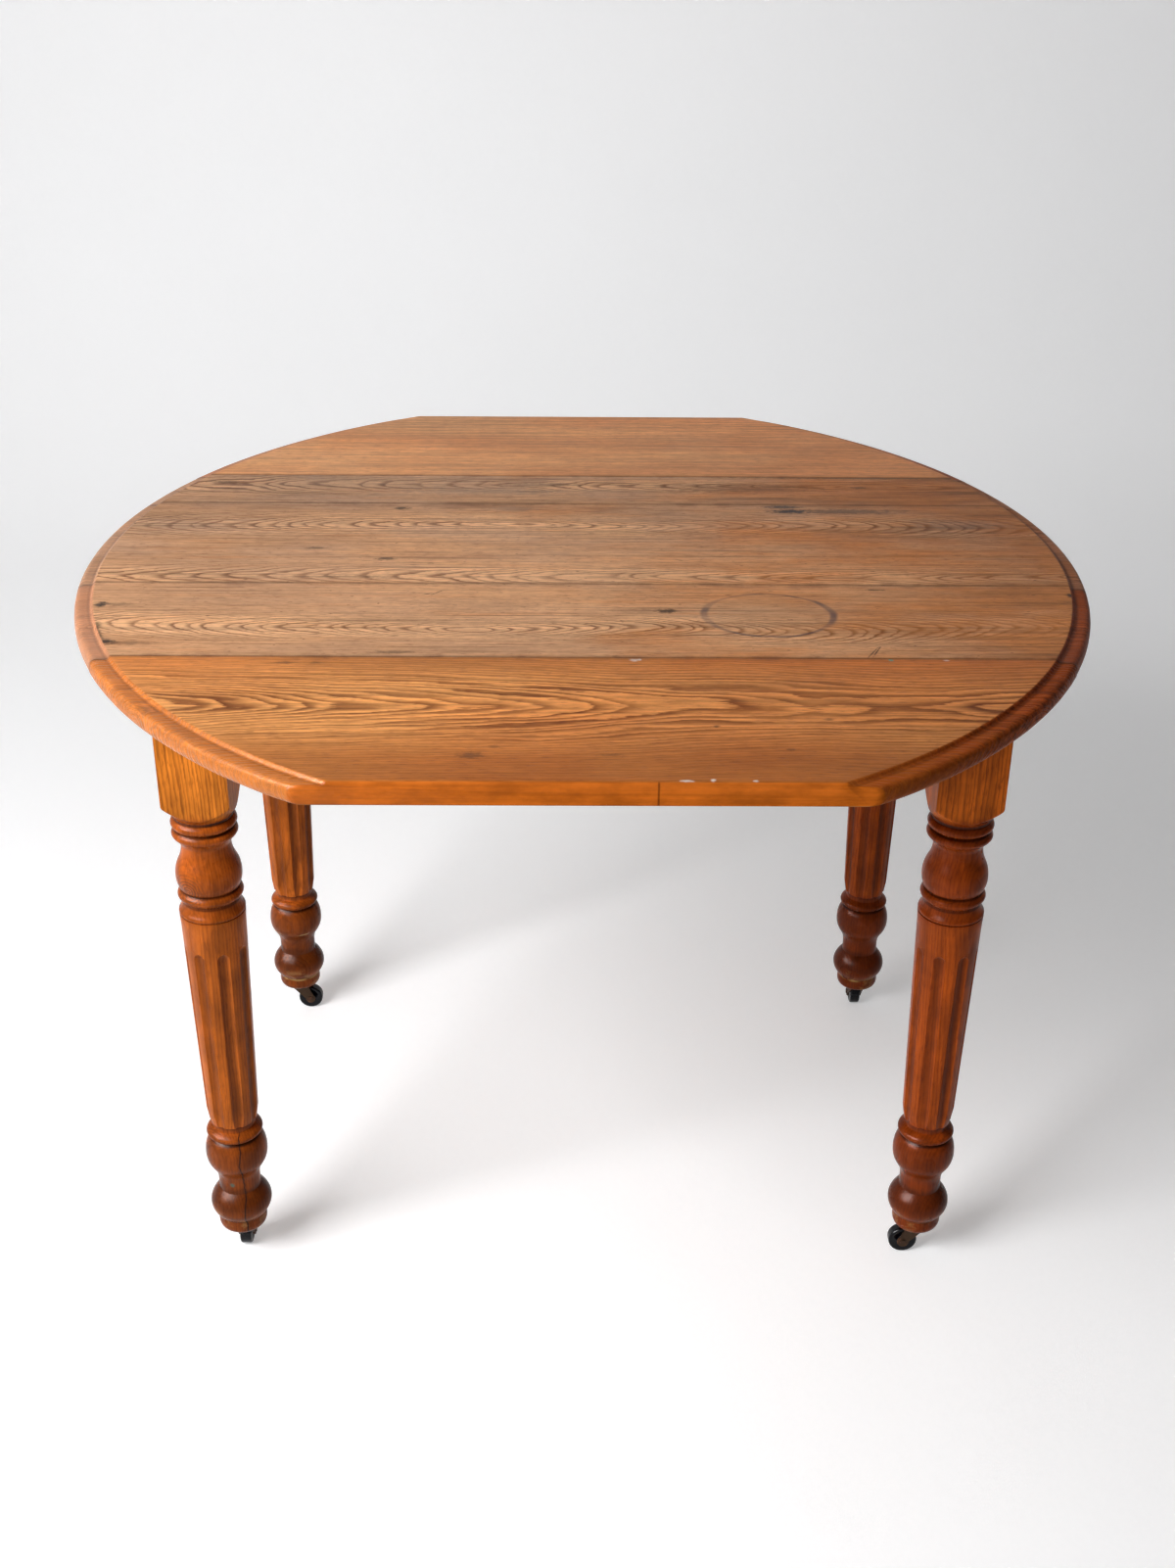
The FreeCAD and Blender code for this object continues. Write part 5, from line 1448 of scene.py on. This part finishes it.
class TABLE_OT_screws(bpy.types.Operator):
    """Drive the slotted screws of the hinges and knuckle rails"""

    bl_idname = "table.screws"
    bl_label = "Screws"

    def execute(self, context):
        sizes = context.scene.table_screws
        finishes = context.scene.table_finishes
        steel = metal_material("screw steel", finishes.steel, finishes.rust, roughness=0.32, share=0.3)
        common = {"Sides": SCREW_SIDES, "Slot Width": sizes.slot_width, "Slot Depth": sizes.slot_depth,
                  "Seed": sizes.seed, "Finish": steel}
        hinge = {**common, "Head": sizes.hinge_head, "Shank": sizes.hinge_shank, "Length": sizes.hinge_length}
        rail = {**common, "Head": sizes.rail_head, "Shank": sizes.rail_shank, "Length": sizes.rail_length}
        front, rear = CORNERS[:2], CORNERS[2:]
        fixed = self.flap_screws("fixed", front, 1, sizes) + self.flap_screws("fixed", rear, -1, sizes)
        for name, body, places in (("fixed", "frame", fixed),
                                   ("front_leaf", "front_leaf", self.flap_screws("leaf", front, -1, sizes)),
                                   ("rear_leaf", "rear_leaf", self.flap_screws("leaf", rear, 1, sizes))):
            mesh = screw_mesh(places, hinge)
            new_piece(f"slotted_screws_{name}", mesh, steel, body, "screw_steel", f"hinge_screws_{name}")
        mesh = screw_mesh(self.rail_screws(sizes), rail)
        new_piece("slotted_screws_rails", mesh, steel, "frame", "screw_steel", "rail_screws")
        return {"FINISHED"}

    def flap_screws(self, flap, corners, side, sizes):
        """Places near the far edge of each flap, driven up; side says towards which Y that edge lies."""
        places = []
        for corner in corners:
            low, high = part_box(f"hinge_{flap}_flap_{corner}")
            y = high.y - sizes.hinge_edge if side > 0 else low.y + sizes.hinge_edge
            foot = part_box(f"hinge_screws_{'fixed' if flap == 'fixed' else corner.split('_')[0] + '_leaf'}")[0].z
            for x in (low.x + sizes.hinge_edge, high.x - sizes.hinge_edge):
                places.append(((x, y, foot), (0, 0, 1)))
        return places

    def rail_screws(self, sizes):
        """Two places on the outer face of each knuckle rail, driven towards the apron."""
        places = []
        for rail, side in (("front_knuckle_rail", -1), ("rear_knuckle_rail", 1)):
            low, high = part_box(rail)
            y = high.y if side > 0 else low.y
            for x in (-sizes.rail_spread, sizes.rail_spread):
                places.append(((x, y, (low.z + high.z) / 2), (0, -side, 0)))
        return places


class TABLE_OT_casters(bpy.types.Operator):
    """Make the caster wheels and finish their horns, axles and sockets"""

    bl_idname = "table.casters"
    bl_label = "Casters"

    def execute(self, context):
        finishes = context.scene.table_finishes
        iron = metal_material("caster iron", finishes.horn, finishes.rust, roughness=0.4, share=0.4)
        black = wheel_material(finishes)
        tree = bpy.data.node_groups["turned piece"]
        points = trace(WHEEL_START, WHEEL_TURNING, WHEEL_STEP)
        points.append(points[0])
        inputs = {"Segments": WHEEL_SEGMENTS, "Blank Half": BEYOND, "Flutes": 1, "Flute Radius": 0.0,
                  "Relief Start": BEYOND, "Finish": black}
        for corner in CORNERS:
            node = f"caster_wheel_{corner}"
            low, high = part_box(node)
            extent = high - low
            mesh = grow(profile_mesh("wheel profile", points), tree, inputs)
            outward(mesh)
            smooth_faces(mesh, WHEEL_CREASE)
            flat = "Y" if extent.y > extent.x else "X"
            mesh.transform(Matrix.Translation((low + high) / 2) @ Matrix.Rotation(math.pi / 2, 4, flat))
            new_piece(f"wheel_{corner}", mesh, black, f"wheel_{corner}", "wheel_black", node)
            for part in ("horn", "axle", "socket"):
                give_material(f"caster_{part}_{corner}", iron)
        return {"FINISHED"}


def seen_rays(build):
    """One for the rays that show the background: to the camera, in gloss and through glass."""
    path = build.add("ShaderNodeLightPath").outputs
    seen = build.larger(path["Is Glossy Ray"], path["Is Transmission Ray"])
    return build.larger(path["Is Camera Ray"], seen)


def floor_material(settings):
    """Pale ground with white added where it is seen, and painted shade as less of it towards the right."""
    material, build = new_material("pale floor")
    place = build.place()
    clouded = build.patches(place, (1.5, 1.5, 1.5), (0.2, 0.8), (0.97, 1.0), 2.0)
    colour = build.darken(linear(settings.floor), clouded)
    matte = build.add("ShaderNodeBsdfPrincipled",
                      {"Base Color": colour, "Roughness": 0.75, "Specular IOR Level": 0.2})
    # Painted shade: less white towards the right
    glow = build.smooth(build.split(place)[0], *GLOW_FADE, settings.glow, GLOW_KEPT * settings.glow)
    white = build.add("ShaderNodeEmission", {"Strength": build.times(seen_rays(build), glow)})
    ground = build.add("ShaderNodeAddShader", {0: matte.outputs[0], 1: white.outputs[0]})
    build.add("ShaderNodeOutputMaterial", {"Surface": ground.outputs[0]})
    return material


def sweep_mesh():
    """Floor that bends up into a wall."""
    sweep = [(FLOOR_FRONT, 0.0), (FLOOR_BEND, 0.0)]
    for angle in range(BEND_STEP, 91, BEND_STEP):
        turn = math.radians(angle)
        sweep.append((FLOOR_BEND + BEND_RADIUS * math.sin(turn), BEND_RADIUS - BEND_RADIUS * math.cos(turn)))
    sweep.append((FLOOR_BEND + BEND_RADIUS, WALL_TOP))
    verts = [(x, y, z) for y, z in sweep for x in (-FLOOR_HALF_WIDTH, FLOOR_HALF_WIDTH)]
    faces = [(2 * i, 2 * i + 1, 2 * i + 3, 2 * i + 2) for i in range(len(sweep) - 1)]
    mesh = bpy.data.meshes.new("studio sweep")
    mesh.from_pydata(verts, [], faces)
    mesh.shade_smooth()
    return mesh


class TABLE_OT_stage(bpy.types.Operator):
    """Set up the floor, wall, light and camera"""

    bl_idname = "table.stage"
    bl_label = "Stage"

    def execute(self, context):
        settings = context.scene.table_stage
        mesh = sweep_mesh()
        mesh.materials.append(floor_material(settings))
        floor = bpy.data.objects.new("studio_floor", mesh)
        context.scene.collection.objects.link(floor)
        self.lamp(context, "key light", settings.key, **KEY_LAMP)
        self.lamp(context, "fill light", settings.fill, **FILL_LAMP)
        self.room(context, settings)
        self.camera(context, settings)
        context.scene.view_settings.view_transform = "Standard"
        return {"FINISHED"}

    def lamp(self, context, name, power, place, target, size):
        data = bpy.data.lights.new(name, "AREA")
        data.shape = "RECTANGLE"
        data.size, data.size_y = size
        data.energy = power
        lamp = bpy.data.objects.new(name, data)
        lamp.location = place
        lamp.rotation_euler = (Vector(target) - Vector(place)).to_track_quat("-Z", "Y").to_euler()
        context.scene.collection.objects.link(lamp)

    def room(self, context, settings):
        """Room light, a white backdrop for the camera, and a bright left side with a window seen in gloss."""
        world = bpy.data.worlds.new("room light")
        world.use_nodes = True
        world.node_tree.nodes.clear()
        build = NodeBuilder(world.node_tree)
        ray = build.add("ShaderNodeTexCoord").outputs["Generated"]
        path = build.add("ShaderNodeLightPath").outputs
        strength = build.scaled(path["Is Camera Ray"], settings.backdrop - settings.sky, settings.sky)
        side = build.split(ray)[0]
        gloss = build.smooth(side, *GLOSS_SIDES, settings.backdrop + GLOSS_EXTRA, settings.sky)
        facing = build.measure("DOT_PRODUCT", ray, WINDOW_SIDE)
        gloss = build.plus(gloss, build.smooth(facing, *WINDOW_EDGE, 0.0, settings.window))
        extra = build.times(path["Is Glossy Ray"], build.minus(gloss, settings.sky))
        strength = build.plus(strength, extra)
        sky = build.add("ShaderNodeBackground", {"Color": (1, 1, 1, 1), "Strength": strength})
        build.add("ShaderNodeOutputWorld", {"Surface": sky.outputs[0]})
        context.scene.world = world

    def camera(self, context, settings):
        data = bpy.data.cameras.new("camera")
        data.lens = settings.lens
        data.sensor_width = SENSOR_WIDTH
        camera = bpy.data.objects.new("camera", data)
        turn = Matrix.Rotation(settings.yaw, 4, "Z") @ Matrix.Rotation(math.pi / 2 - settings.pitch, 4, "X")
        turn = turn @ Matrix.Rotation(settings.roll, 4, "Z")
        camera.matrix_world = Matrix.Translation(settings.camera_place) @ turn
        context.scene.collection.objects.link(camera)
        context.scene.camera = camera


class TABLE_PT_panel(bpy.types.Panel):
    """Pieces and settings of the table"""

    bl_idname = "TABLE_PT_panel"
    bl_label = "Drop-leaf table"
    bl_space_type = "VIEW_3D"
    bl_region_type = "UI"
    bl_category = "Table"

    def draw(self, context):
        for operator in OPERATORS:
            self.layout.operator(operator.bl_idname)
        for name in SETTINGS:
            group = getattr(context.scene, name)
            box = self.layout.box()
            for key in group.__annotations__:
                box.prop(group, key)


OPERATORS = (TABLE_OT_fixed_top, TABLE_OT_leaves, TABLE_OT_legs, TABLE_OT_apron_frame, TABLE_OT_hinges,
             TABLE_OT_screws, TABLE_OT_casters, TABLE_OT_stage)
SETTINGS = {"table_top": TopSizes, "table_legs": LegSizes, "table_screws": ScrewSizes,
            "table_finishes": Finishes, "table_stage": StageSettings}


def register():
    for group in SETTINGS.values():
        bpy.utils.register_class(group)
    for name, group in SETTINGS.items():
        setattr(bpy.types.Scene, name, PointerProperty(type=group))
    for operator in OPERATORS:
        bpy.utils.register_class(operator)
    bpy.utils.register_class(TABLE_PT_panel)


def unregister():
    bpy.utils.unregister_class(TABLE_PT_panel)
    for operator in reversed(OPERATORS):
        bpy.utils.unregister_class(operator)
    for name, group in SETTINGS.items():
        delattr(bpy.types.Scene, name)
        bpy.utils.unregister_class(group)


def main():
    register()
    mark_tree()
    turned_piece_tree()
    screw_tree()
    bpy.ops.table.fixed_top()
    bpy.ops.table.leaves()
    bpy.ops.table.legs()
    bpy.ops.table.apron_frame()
    bpy.ops.table.hinges()
    bpy.ops.table.screws()
    bpy.ops.table.casters()
    bpy.ops.table.stage()


if __name__ == "__main__":
    main()
